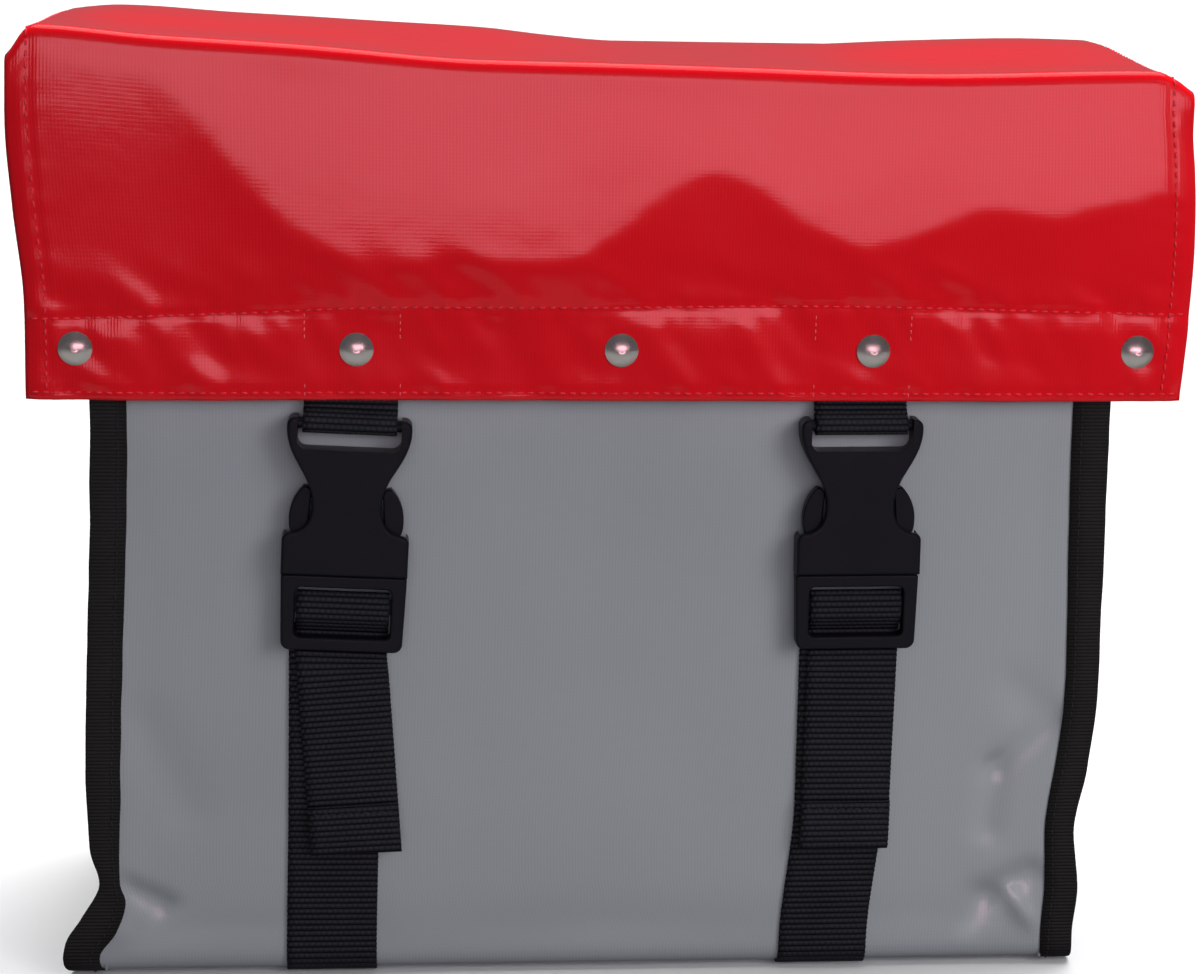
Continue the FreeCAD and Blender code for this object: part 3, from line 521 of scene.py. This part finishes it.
def side_surface(side):
    """Side panel between the front and back seams, drawn in a little between them."""
    outward = 1 if side == "right" else -1

    def surface(y, z):
        s_front = MOUTH_Z - z
        front_x = seam_line(side, s_front)[0]
        back_x = seam_line(side, BACK_START + z - BASE_Z - BOTTOM_RADIUS)[0]
        share = np.clip((y - FRONT_Y) / (BACK_Y - FRONT_Y), 0, 1)
        along_bottom = np.clip(y - FRONT_Y - BOTTOM_RADIUS, 0, BOTTOM_END - BOTTOM_START)
        low_x = seam_line(side, BOTTOM_START + along_bottom)[0]
        plain = front_x + (back_x - front_x) * ease(share, 0, 0.5)
        plain = plain + (low_x - plain) * ease(z, 34, BASE_Z + 2)
        belly = np.sin(math.pi * share) * ease(z, 4, 70)
        uneven = 2.5 * random_field(y / 55.0, z / 70.0, 17 + outward)
        drawn_in = belly * (5.5 + uneven + 2.5 * ease(z, 250, 400))
        sag = MOUTH_SAG * ease(share, 1, 0) * ease(z, MOUTH_Z - 70, MOUTH_Z)
        return np.stack([plain - outward * drawn_in, np.broadcast_to(y, plain.shape), z - sag], -1)

    return surface


def binding_mesh(side, material):
    """Tape folded over the seam's fin: a thin closed band drawn round its section."""
    outward = 1 if side == "right" else -1
    lengths = steps(0, WRAP_END, 2.5)
    inner, outer = seam_line(side, lengths)
    y, z, out_y, out_z = wrap(lengths)
    depth = 2 * SHEET
    # Share of the way to the outer edge, lift off the cloth, and shift outwards of each corner
    section = [(0, TAPE, 0), (0.5, TAPE + 0.1, 0), (1, TAPE, -1.2), (1, TAPE * 0.6, -0.3),
               (1, -depth / 2, 0), (1, -depth - TAPE * 0.6, -0.3), (1, -depth - TAPE, -1.2),
               (0, -depth - TAPE, 0), (0, -depth, 0), (1, -depth, -1.6), (1, 0.05, -1.6), (0, 0.05, 0)]
    points = np.zeros((len(lengths), len(section), 3))
    uv = np.zeros((len(lengths), len(section), 2))
    for k, (share, lift, extra) in enumerate(section):
        x = inner + (outer - inner) * share + outward * extra
        pinch = 0.25 * random_field(lengths / 9.0, k * 0.2, 41 + outward) if 0 < share else 0.0
        stand = lift + pinch * 0.4
        points[:, k] = np.stack([x + pinch * 0.5, y + out_y * stand, z + out_z * stand], -1)
        uv[:, k] = np.stack([x * MM, lengths * MM], -1)
    faces = grid_faces(len(lengths), len(section), closed=True)
    return add_mesh("binding_" + side, points, faces, material, uv)


def ride_and_replace(piece, body, *nodes):
    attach(piece, body)
    if nodes:
        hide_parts(*nodes)
    return piece


body = sheet_mesh("body_cloth", body_surface, steps(-FIN_X, FIN_X, 3.0), steps(0, WRAP_END, 3.0),
                  GREY)
ride_and_replace(body, "bag", "body_sheet")
for side in SIDES:
    columns = steps(FRONT_Y + SHEET, BACK_Y - SHEET, 5.0)
    if side == "right":
        columns = columns[::-1]
    rows = steps(BASE_Z + SHEET, MOUTH_Z - SHEET, 5.0)
    panel = sheet_mesh("side_cloth_" + side, side_surface(side), columns, rows, GREY)
    ride_and_replace(panel, "bag", "side_panel_" + side)
    tape = binding_mesh(side, BLACK_TAPE)
    ride_and_replace(tape, "bag", "binding_tape_" + side)

# ---------------------------------------------------------------------------
# Lid
# ---------------------------------------------------------------------------

RIDGE_CENTRE_Y = LID_FRONT_Y + RIDGE_SET_BACK + RIDGE_RADIUS
RIDGE_LOW_Z = LID_TOP_Z - RIDGE_RADIUS
TOP_RUN = HINGE_Y - RIDGE_CENTRE_Y
FRONT_START = TOP_RUN + RIDGE_RADIUS * math.pi / 2
LID_RUN = FRONT_START + RIDGE_LOW_Z - LID_LOW_Z

# Heights of the ridge and of the top's crown behind it, from the raised left end to the right.
ridge_height = through([(-250, 414), (-239, 421.5), (-191, 417.7), (-128, 414), (-57, 409.1), (-6, 408.1),
                        (58, 406.8), (131, 405.1), (232, 407.6), (250, 403)])
crown_height = through([(-250, 419), (-238, 422.5), (-216, 424.5), (-163, 421.5), (-108, 419.0), (-52, 416.5),
                        (-23, 413.7), (5, 411.4), (62, 409.4), (90, 410), (149, 413.2), (207, 415),
                        (235, 414.3), (250, 411)])
left_edge = through([(262, 2.6), (305, 3.0), (345, -0.7), (380, -2.8), (408, -1.9)])
right_edge = through([(262, 0.6), (294, 2.5), (324, 3.1), (373, 1.1), (395, -0.8), (408, -1.0)])
hem_height = through([(-250, 299.5), (-161, 302), (-89, 305.2), (-5, 305.3), (94, 306.4), (194, 304.5),
                      (250, 303.4)])
# The front leans forwards from the ridge down to this line, and hangs straight below it.
lean_height = through([(-250, 399), (-200, 398), (-178, 382), (-155, 356), (-134, 335), (-112, 326),
                       (-88, 322), (-60, 326), (-22, 324), (2, 334), (22, 354), (44, 365), (62, 357),
                       (84, 341), (109, 330), (134, 338), (164, 348), (190, 346), (220, 352), (250, 360)])
UPPER_LEAN = 0.067              # slope of the part above that line


def lid_bulge_table():
    """Outward bulge of the lid's front on a grid, from its slopes above and below lean_height."""
    xs, zs = np.arange(-255, 256, 3.0), np.arange(RIDGE_LOW_Z + 1, LID_LOW_Z - 6, -1.0)
    knee = lean_height(xs)[:, None] + 1.5 * random_field(xs / 16.0, 0.3, 51)[:, None]
    at_knee = UPPER_LEAN * (RIDGE_LOW_Z - knee)
    hem_z = 298.0
    above = UPPER_LEAN * (RIDGE_LOW_Z - zs)[None, :]
    below = at_knee + (RIDGE_SET_BACK - at_knee) * (knee - zs[None, :]) / (knee - hem_z)
    bulge = np.where(zs[None, :] > knee, above, np.where(zs[None, :] > hem_z, below, RIDGE_SET_BACK))
    for axis, reach in ((1, 5), (0, 2)):
        weights = np.hanning(2 * reach + 3)[1:-1]
        weights /= weights.sum()
        padded = np.concatenate([np.repeat(bulge.take([0], axis), reach, axis), bulge,
                                 np.repeat(bulge.take([-1], axis), reach, axis)], axis)
        count = bulge.shape[axis]
        bulge = sum(weight * padded.take(range(k, k + count), axis) for k, weight in enumerate(weights))
    return xs, zs, bulge


BULGE_X, BULGE_Z, BULGE = lid_bulge_table()


def lid_bulge(x, z):
    """Bulge at any place on the front, read between the table's points."""
    column = np.clip((x - BULGE_X[0]) / (BULGE_X[1] - BULGE_X[0]), 0, len(BULGE_X) - 1.001)
    row = np.clip((z - BULGE_Z[0]) / (BULGE_Z[1] - BULGE_Z[0]), 0, len(BULGE_Z) - 1.001)
    i, j = column.astype(int), row.astype(int)
    a, b = column - i, row - j
    return ((BULGE[i, j] * (1 - a) + BULGE[i + 1, j] * a) * (1 - b)
            + (BULGE[i, j + 1] * (1 - a) + BULGE[i + 1, j + 1] * a) * b)


def lid_relief(x, y, z):
    """Small outward relief: stitched grooves, puckers, doubled hems and creases along the hem."""
    on_front = ease(z, RIDGE_LOW_Z, RIDGE_LOW_Z - 12)
    from_hem = z - hem_height(x)
    from_side = np.abs(x) - SIDE_STITCH_X
    slant = x + 0.55 * z
    creases = (0.62 * random_field(slant / 11.0, z / 24.0, 61) * hump(from_hem, -9, 17)
               + 0.60 * random_field((x + 0.9 * z) / 15.0, z / 19.0, 62) * hump(from_hem, 9, 12)
               + 0.45 * random_field((x + 1.1 * z) / 16.0, z / 26.0, 63) * hump(from_hem, -30, 10))
    below_hem = 0.62 * ease(-from_hem, 0.5, 10) * (0.6 + 0.8 * random_field(slant / 13.0, 0.2, 71))
    low_flare = 0.62 * ease(z, 287, 270) * (0.4 + 0.9 * random_field(slant / 16.0, 0.6, 72))
    pucker = 0.13 * np.sin(2 * math.pi * (x + 3 * random_field(x / 20.0, 0.7, 64)) / 10.5)
    grooves = -0.38 * hump(from_hem, 0, 1.7) - 0.3 * hump(z, EDGE_STITCH_Z, 1.5)
    by_stitches = hump(from_hem, 0, 6) + 0.7 * hump(z, EDGE_STITCH_Z, 5)
    front = grooves + creases + below_hem + low_flare + pucker * by_stitches
    broad = 0.22 * random_field(x / 42.0, z / 38.0, 65) * (1 - hump(from_side, 5, 12))
    run = np.where(z > RIDGE_LOW_Z - 1, y, z)
    side_pucker = 0.06 * np.sin(2 * math.pi * (run + 3 * random_field(run / 20.0, 0.4, 66)) / 11.0)
    side = (0.45 * ease(from_side, -1.2, 1.6) - 0.38 * hump(from_side, 0, 1.7)
            + side_pucker * hump(from_side, 0, 7))
    rivets = sum(-0.45 * np.exp(-((x - at_x) ** 2 + (z - RIVET_Z) ** 2) / 70.0) for at_x in RIVET_X)
    top = 0.5 * random_field(x / 70.0, y / 60.0, 67) * (1 - on_front)
    return (front + broad + rivets) * on_front + side + top


def lid_surface(x, v):
    """The lid's outer face: v runs forwards over the top, over the ridge and down the front."""
    x, v = np.broadcast_arrays(np.asarray(x, float), np.asarray(v, float))
    turn = np.clip((v - TOP_RUN) / RIDGE_RADIUS, 0, math.pi / 2)
    y = HINGE_Y - np.clip(v, 0, TOP_RUN) - RIDGE_RADIUS * np.sin(turn)
    z = LID_TOP_Z - RIDGE_RADIUS * (1 - np.cos(turn)) - np.clip(v - FRONT_START, 0, LID_RUN)
    relief = lid_relief(x, y, z)
    forward = np.clip((HINGE_Y - y) / TOP_RUN, 0, 1)
    crown = crown_height(x) - LID_TOP_Z
    ridge = ridge_height(x) - LID_TOP_Z
    crown_place = 0.26
    lift = crown * ease(forward, 0, crown_place) + (ridge - crown) * ease(forward, crown_place, 0.96)
    lift = lift * ease(z, 308, RIDGE_LOW_Z)
    past_stitch = np.clip(np.abs(x) - (SIDE_STITCH_X - 5), 0, None) / (LID_HALF - SIDE_STITCH_X + 5)
    droop = past_stitch ** 2 * np.where(x < 0, 5.5, 4.5) * ease(z, 330, RIDGE_LOW_Z)
    curl = past_stitch ** 2 * 2.6 * ease(z, LID_TOP_Z, RIDGE_LOW_Z - 25)
    out = lid_bulge(x, z) * np.sin(turn) + relief
    side = left_edge(z) * ease(-x, 150, LID_HALF) + right_edge(z) * ease(x, 150, LID_HALF)
    wave = 0.5 * random_field(x / 60.0, 0.5, 68) * ease(z, 290, LID_LOW_Z)
    return np.stack([x + side, y - np.sin(turn) * out + curl,
                     z + lift - droop + np.cos(turn) * relief + wave], -1)


def lid_v(z):
    """The lid's own length v at a height on its front."""
    return FRONT_START + RIDGE_LOW_Z - z


def inside_lid(x, v):
    """Face of the hem strip, which lies against the inside of the lid's front."""
    point = lid_surface(x, v)
    return point + np.array([0.0, SHEET + 0.15, 0.0])


def bend_over_ridge(piece):
    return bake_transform(piece)


lid = sheet_mesh("lid_cloth", lid_surface, steps(-LID_HALF, LID_HALF, 2.0), steps(0, LID_RUN, 2.0),
                 RED)
bend_over_ridge(lid)
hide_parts("lid_top_panel", "lid_front_panel")

hem = sheet_mesh("lid_hem_cloth", inside_lid, steps(-LID_HALF + 1, LID_HALF - 1, 4.0),
                 steps(lid_v(307.5), LID_RUN - 0.3, 3.0), RED)
ride_and_replace(hem, "lid_front", "lid_hem_strip")


def hinge_surface(x, v):
    """Strip sewn down the bag's back whose upper end turns forwards under the lid."""
    radius = 4.0
    low_z = box_mm("lid_hinge_tab")[0][2]
    straight = HINGE_Z - radius - low_z
    turn = np.clip((v - straight) / radius, 0, math.pi / 2)
    y = BACK_Y + SHEET - radius * (1 - np.cos(turn)) - np.clip(v - straight - radius * math.pi / 2, 0, 99)
    z = low_z + np.clip(v, 0, straight) + radius * np.sin(turn) - 0.9
    return np.stack([x, y, z + 0 * x], -1)


tab = sheet_mesh("lid_hinge_cloth", hinge_surface, steps(SEAM_X, -SEAM_X, 6.0), steps(0, 44, 1.5),
                 RED)
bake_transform(tab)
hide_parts("lid_hinge_tab")

STITCH = 4.5
HEM_BAR_X = (-130.0, -89.5, 88.5, 130.0)    # stitch rows that hold the upper straps


def hem_places():
    xs = between((-LID_HALF + 2, 0), (LID_HALF - 2, 0), STITCH)[:, 0]
    return np.stack([xs, lid_v(hem_height(xs))], -1)


edge_v = lid_v(EDGE_STITCH_Z)
lid_rows = [
    along(lid_surface, hem_places()),
    along(lid_surface, between((-LID_HALF + 2, edge_v), (LID_HALF - 2, edge_v), STITCH)),
]
for x in (-SIDE_STITCH_X, SIDE_STITCH_X):
    lid_rows.append(along(lid_surface, between((x, 6), (x, LID_RUN - 4), STITCH)))
bar_rows = []
for x in HEM_BAR_X:
    for top_z, low_z in ((303.0, 291.0), (273.0, 266.0)):
        bar_rows.append(along(lid_surface, between((x, lid_v(top_z)), (x, lid_v(low_z)), 2.6)))
bar_thread = stitch_mesh("strap_stitching", bar_rows, 1.8, 0.27, PALE_THREAD, seed=11)
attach(bar_thread, "lid_front")
lid_thread = stitch_mesh("lid_stitching", lid_rows, 3.3, 0.5, RED_THREAD)
bend_over_ridge(lid_thread)

# ---------------------------------------------------------------------------
# Straps
# ---------------------------------------------------------------------------


def lean(points, side, share=1.0):
    """Lean points about the strap's swing line, as the CAD buckles lean."""
    angle = LEAN[side] * share
    x, z = points[..., 0] - STRAP_X[side], points[..., 2] - LEAN_Z
    moved = points.copy()
    moved[..., 0] = STRAP_X[side] + x * np.cos(angle) + z * np.sin(angle)
    moved[..., 2] = LEAN_Z - x * np.sin(angle) + z * np.cos(angle)
    return moved


def strap_edge(u, v):
    """Half a strap's width, with the small scallops of its woven edge."""
    return u * (STRAP_HALF + 0.14 * np.sin(2 * math.pi * v / 2.3))


def polyline(corners, size=0.6):
    """A path of (y, z) corners, resampled evenly: lengths and places."""
    corners = np.array(corners, float)
    lengths = np.concatenate([[0], np.cumsum(np.linalg.norm(np.diff(corners, axis=0), axis=1))])
    even = steps(0, lengths[-1], size)
    return even, np.stack([np.interp(even, lengths, corners[:, k]) for k in (0, 1)], -1)


def turn_round(y, z, radius, start, end, count=12):
    """Corners on an arc about (y, z). 0 degrees points along +Y and 90 up."""
    angles = np.radians(np.linspace(start, end, count))
    return list(zip(y + radius * np.cos(angles), z + radius * np.sin(angles)))


def ribbon(name, corners, centre_x, material=BLACK_STRAP, shape=None, width_steps=11):
    """Webbing of the strap's real thickness that follows a path of (y, z) corners."""
    lengths, path = polyline(corners)
    u = np.linspace(-1, 1, width_steps)
    grid_u, grid_v = np.meshgrid(u, lengths)
    points = np.stack([centre_x + strap_edge(grid_u, grid_v), np.repeat(path[:, :1], width_steps, 1),
                       np.repeat(path[:, 1:], width_steps, 1)], -1)
    if shape is not None:
        points = shape(points, grid_u, grid_v)
    uv = np.stack([grid_u * STRAP_HALF, grid_v], -1) * MM
    piece = add_mesh(name, points, grid_faces(len(lengths), width_steps), material, uv)
    return thicken(piece, STRAP, 0.0), float(lengths[-1]) * MM


def proud(distance):
    """Place in front of the bag's front face."""
    return FRONT_Y - distance


def upper_strap(side):
    """Webbing sewn under the hem, round the buckle's bar and back up."""
    bar_y, bar_z, radius = proud(7.2), 254.4, 3.5
    front_y, back_y = proud(4.45), proud(2.95)
    top_z = 302.0
    corners = [(front_y, top_z), (front_y, 263.0), (front_y - 0.6, 261.0)]
    corners += turn_round(bar_y, bar_z, radius, 140, 340, 16)
    corners += [(back_y, 261.0), (back_y, 263.0), (back_y, top_z)]

    def shape(points, u, v):
        share = ease(points[..., 2], LEAN_Z + 4, LEAN_Z - 3)
        return lean(points, side, share)

    piece, length = ribbon("upper_webbing_" + side, corners, STRAP_X[side], shape=shape)
    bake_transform(piece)
    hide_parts("upper_strap_" + side, "upper_strap_anchor_" + side)


LOWER_STRAP_DRIFT = {
    "left": through([(240, 0), (330, -1.0), (400, -2.2), (560, -2.0), (980, 0)]),
    "right": through([(240, 0.5), (325, 0.6), (396, -4.6), (560, -4.0), (980, 0)]),
}


def lower_strap(side):
    """Webbing sewn down the front, under the bag and up its back."""
    lengths = steps(MOUTH_Z - LOWER_STRAP_TOP_Z, WRAP_END - MOUTH_Z + LOWER_STRAP_BACK_Z, 0.6)
    u = np.linspace(-1, 1, 11)
    grid_u, grid_s = np.meshgrid(u, lengths)
    x = LOWER_STRAP_X[side] + LOWER_STRAP_DRIFT[side](grid_s) + strap_edge(grid_u, grid_s)
    y, z, out_y, out_z = wrap(grid_s)
    out = swell(x, grid_s) + STRAP / 2 + 0.05
    points = np.stack([x, y + out_y * out, z + out_z * out], -1)
    uv = np.stack([grid_u * STRAP_HALF, grid_s], -1) * MM
    name = "lower_webbing_" + side
    piece = add_mesh(name, points, grid_faces(len(lengths), len(u)), BLACK_STRAP, uv)
    thicken(piece, STRAP, 0.0)
    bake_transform(piece)
    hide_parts("lower_strap_" + side)


def strap_loop(side):
    """Webbing that goes up behind the plug's grip bar, over it and out behind the frame."""
    low_slot_z, bar_low_z, bend_z = 161.5, 170.5, 177.3
    middle = (3.55 + 8.25) / 2
    corners = [(proud(3.55), 168.0), (proud(3.55), bend_z)]
    corners += turn_round(proud(middle), bend_z, (8.25 - 3.55) / 2, 0, 180)
    corners += [(proud(8.25), bar_low_z - 0.6), (proud(7.6), bar_low_z - 2.4), (proud(3.2), low_slot_z + 1.0),
                (proud(2.55), low_slot_z - 1.0), (proud(2.55), TAIL_PIVOT_Z + 1.2)]
    piece, length = ribbon("webbing_loop_" + side, corners, STRAP_X[side],
                           shape=lambda points, u, v: lean(points, side))
    ride_and_replace(piece, "plug_" + side, "strap_loop_" + side)


def tail_shape(side):
    """Skew the tail about its pivot, lean it, and let its end stand off a little."""
    skew = TAIL_SKEW[side]
    twist = 1.6 if side == "left" else -0.9

    def shape(points, u, v):
        down = np.clip((TAIL_PIVOT_Z - points[..., 2]) / (TAIL_PIVOT_Z - TAIL_LOW_Z), 0, 1)
        moved = points.copy()
        moved[..., 1] -= 1.4 * down ** 2 + twist * u * down ** 2 + 0.35 * np.sin(down * 9) * down
        x, z = points[..., 0] - STRAP_X[side], points[..., 2] - TAIL_PIVOT_Z
        moved[..., 0] = STRAP_X[side] + x * np.cos(skew) + z * np.sin(skew)
        moved[..., 2] = TAIL_PIVOT_Z - x * np.sin(skew) * ease(down, 0, 0.15) + z * np.cos(skew)
        return lean(moved, side)

    return shape


def strap_tail(side):
    """Free end of the webbing, folded up once at its tip and sewn."""
    back = 2.6
    bend = 0.85
    corners = [(proud(back), TAIL_PIVOT_Z + 0.6), (proud(back), TAIL_LOW_Z + bend)]
    corners += turn_round(proud(back + bend), TAIL_LOW_Z + bend, bend, 0, -180, 8)
    corners += [(proud(back + 2 * bend), TAIL_LOW_Z + TAIL_FOLD)]
    shape = tail_shape(side)
    piece, length = ribbon("webbing_tail_" + side, corners, STRAP_X[side], shape=shape)
    ride_and_replace(piece, "tail_" + side, "strap_tail_" + side)

    def face(x, z):
        plain = np.stack([STRAP_X[side] + x, np.full_like(x, proud(back + 2 * bend + STRAP / 2)), z], -1)
        return shape(plain, x / STRAP_HALF, z)

    rows = []
    for z in (TAIL_LOW_Z + 4.5, TAIL_LOW_Z + TAIL_FOLD - 3.5):
        rows.append(along(face, between((-STRAP_HALF + 2, z), (STRAP_HALF - 2, z), 3.6)))
    thread = stitch_mesh("tail_stitching_" + side, rows, 2.8, 0.35, BLACK_THREAD, seed=9)
    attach(thread, "tail_" + side)


for side in SIDES:
    upper_strap(side)
    lower_strap(side)
    strap_loop(side)
    strap_tail(side)


def tape_face(side, share, s):
    """Outer face of a binding, at a percentage of the way across it."""
    inner, outer = seam_line(side, s)
    y, z, out_y, out_z = wrap(s)
    lift = TAPE + 0.15
    return np.stack([inner + (outer - inner) * share / 100.0, y + out_y * lift, z + out_z * lift], -1)


def binding_thread(side):
    """Row of stitches along a binding, a few millimetres in from its inner edge."""
    pitch = 4.0
    count = int(WRAP_END / pitch)
    share = np.full(count, 24.0)
    lengths = (np.arange(count) + 0.5) * pitch
    centre = tape_face(side, share, lengths)
    forward = tape_face(side, share, lengths + 0.5) - centre
    forward /= np.linalg.norm(forward, axis=1)[:, None]
    out_y, out_z = wrap(lengths)[2:]
    normal = np.stack([0 * out_y, out_y, out_z], -1)
    thread = stitch_mesh("binding_stitching_" + side, [(centre, forward, normal)], 2.9, 0.3,
                         BLACK_THREAD, seed=7)
    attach(thread, "bag")


for side in SIDES:
    binding_thread(side)

# ---------------------------------------------------------------------------
# Hard parts keep their CAD shapes and take a finish
# ---------------------------------------------------------------------------

FINISHES = {
    "buckle_": (BUCKLE_PLASTIC, "black_buckle_plastic"),
    "plug_": (BUCKLE_PLASTIC, "black_buckle_plastic"),
    "rivet_": (NICKEL, "nickel_rivets"),
    "hook_rivets": (ALUMINIUM, "aluminium_plates"),
    "hook_backing": (ALUMINIUM, "aluminium_plates"),
    "rack_hook": (HOOK_PLASTIC, "hook_plastic"),
    "back_board": (BOARD_PLASTIC, "board_plastic"),
    "base_board": (BOARD_PLASTIC, "board_plastic"),
}
for node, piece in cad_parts.items():
    for start, (material, slot) in FINISHES.items():
        if node.startswith(start):
            piece.data.materials.clear()
            piece.data.materials.append(material)

# ---------------------------------------------------------------------------
# Floor, light and camera
# ---------------------------------------------------------------------------


def add_floor():
    floor_look = Look("floor", (0.62, 0.62, 0.62), 0.9, Specular_IOR_Level=0.1)
    bpy.ops.mesh.primitive_circle_add(vertices=96, radius=20.0, fill_type="NGON")
    floor = bpy.context.object
    floor.name = "floor"
    floor.data.materials.append(floor_look.material)
    floor.visible_glossy = False
    floor.visible_diffuse = False


def add_sky_card():
    """Bright wall of sky opposite the bag, seen only as a reflection in the coated cloth."""
    card_look = Look("sky_card", (0, 0, 0), 1.0, Specular_IOR_Level=0.0, Emission_Strength=5.4)
    cloud = card_look.node("ShaderNodeTexNoise", {"Vector": card_look.place(), "Scale": 3.2, "Detail": 4.0})
    shade = card_look.spread(cloud.outputs["Fac"], 0.35, 1.5)
    tint = card_look.node("ShaderNodeVectorMath", {0: (1.0, 0.60, 0.71), "Scale": shade}, operation="SCALE")
    card_look.put("Emission Color", tint.outputs["Vector"])
    bpy.ops.mesh.primitive_plane_add(size=1.0, location=(0.25, -2.6, 0.60), rotation=(math.radians(90), 0, 0))
    card = bpy.context.object
    card.name = "sky_card"
    card.scale = (2.1, 0.60, 1.0)
    card.data.materials.append(card_look.material)
    for ray in ("camera", "diffuse", "transmission", "shadow"):
        setattr(card, "visible_" + ray, False)


def add_ground_glow():
    """Sunlit ground just in front of the bag, seen only as a reflection in the coated cloth."""
    glow_look = Look("ground_glow", (0, 0, 0), 1.0, Specular_IOR_Level=0.0,
                     Emission_Color=(0.93, 1.0, 0.98, 1), Emission_Strength=0.55)
    bpy.ops.mesh.primitive_plane_add(size=1.0, location=(0.1, -0.50, 0.001))
    glow = bpy.context.object
    glow.name = "ground_glow"
    glow.scale = (2.6, 0.66, 1.0)
    glow.data.materials.append(glow_look.material)
    for ray in ("camera", "diffuse", "transmission", "shadow"):
        setattr(glow, "visible_" + ray, False)


def add_backdrop():
    """Pale dome behind everything that only the camera sees."""
    dome_look = Look("backdrop", (0, 0, 0), 1.0, Specular_IOR_Level=0.0,
                     Emission_Color=(1, 1, 1, 1), Emission_Strength=1.0)
    bpy.ops.mesh.primitive_uv_sphere_add(segments=64, ring_count=32, radius=19.0)
    dome = bpy.context.object
    dome.name = "backdrop"
    dome.data.materials.append(dome_look.material)
    for ray in ("glossy", "diffuse", "transmission", "shadow"):
        setattr(dome, "visible_" + ray, False)


def add_overhead_sun(name, strength, mirrored):
    """Soft even daylight from above and slightly behind."""
    light = bpy.data.lights.new(name, "SUN")
    light.energy = strength
    light.angle = math.radians(60)
    lamp = bpy.data.objects.new(name, light)
    lamp.rotation_euler = (math.radians(-18), math.radians(6), 0)
    lamp.visible_glossy = mirrored
    bpy.context.scene.collection.objects.link(lamp)


def add_area_light(name, place, target, width, height, power, colour=(1, 1, 1)):
    light = bpy.data.lights.new(name, "AREA")
    light.shape = "RECTANGLE"
    light.size, light.size_y = width, height
    light.energy = power
    light.color = colour
    lamp = bpy.data.objects.new(name, light)
    lamp.location = place
    lamp.rotation_euler = (Vector(target) - Vector(place)).to_track_quat("-Z", "Y").to_euler()
    lamp.visible_glossy = False
    bpy.context.scene.collection.objects.link(lamp)


def add_camera():
    """Camera at the height and distance of a person who photographs the bag on the ground."""
    pitch, yaw, roll = math.radians(12.53), math.radians(4.58), math.radians(0.96)
    ahead = Vector((math.sin(yaw) * math.cos(pitch), math.cos(yaw) * math.cos(pitch), -math.sin(pitch)))
    level = ahead.cross(Vector((0, 0, 1))).normalized()
    above = level.cross(ahead)
    right = level * math.cos(roll) + above * math.sin(roll)
    up = above * math.cos(roll) - level * math.sin(roll)
    camera_data = bpy.data.cameras.new("camera")
    camera_data.lens = 78.0
    camera_data.sensor_width = 36.0
    camera = bpy.data.objects.new("camera", camera_data)
    place = Vector((-0.0910, -1.1954, 0.4712))
    camera.matrix_world = Matrix((
        (right.x, up.x, -ahead.x, place.x), (right.y, up.y, -ahead.y, place.y),
        (right.z, up.z, -ahead.z, place.z), (0, 0, 0, 1)))
    bpy.context.scene.collection.objects.link(camera)
    bpy.context.scene.camera = camera


def add_world():
    world = bpy.data.worlds.new("world")
    world.use_nodes = True
    background = world.node_tree.nodes["Background"]
    background.inputs["Color"].default_value = (0.86, 0.90, 0.96, 1)
    background.inputs["Strength"].default_value = 0.14
    bpy.context.scene.world = world


add_floor()
add_world()
add_area_light("sky_front", (1.0, -2.6, 0.80), (0.9, 0.0, 0.66), 4.2, 1.1, 43.0, (0.92, 0.89, 1.0))
add_area_light("key_right", (0.85, -0.95, 0.75), (0.1, 0.0, 0.2), 0.6, 0.6, 7.0)
add_overhead_sun("overhead", 4.6, False)
add_overhead_sun("overhead_shine", 1.8, True)
add_sky_card()
add_ground_glow()
add_backdrop()
add_camera()
bpy.context.scene.view_settings.view_transform = "Standard"
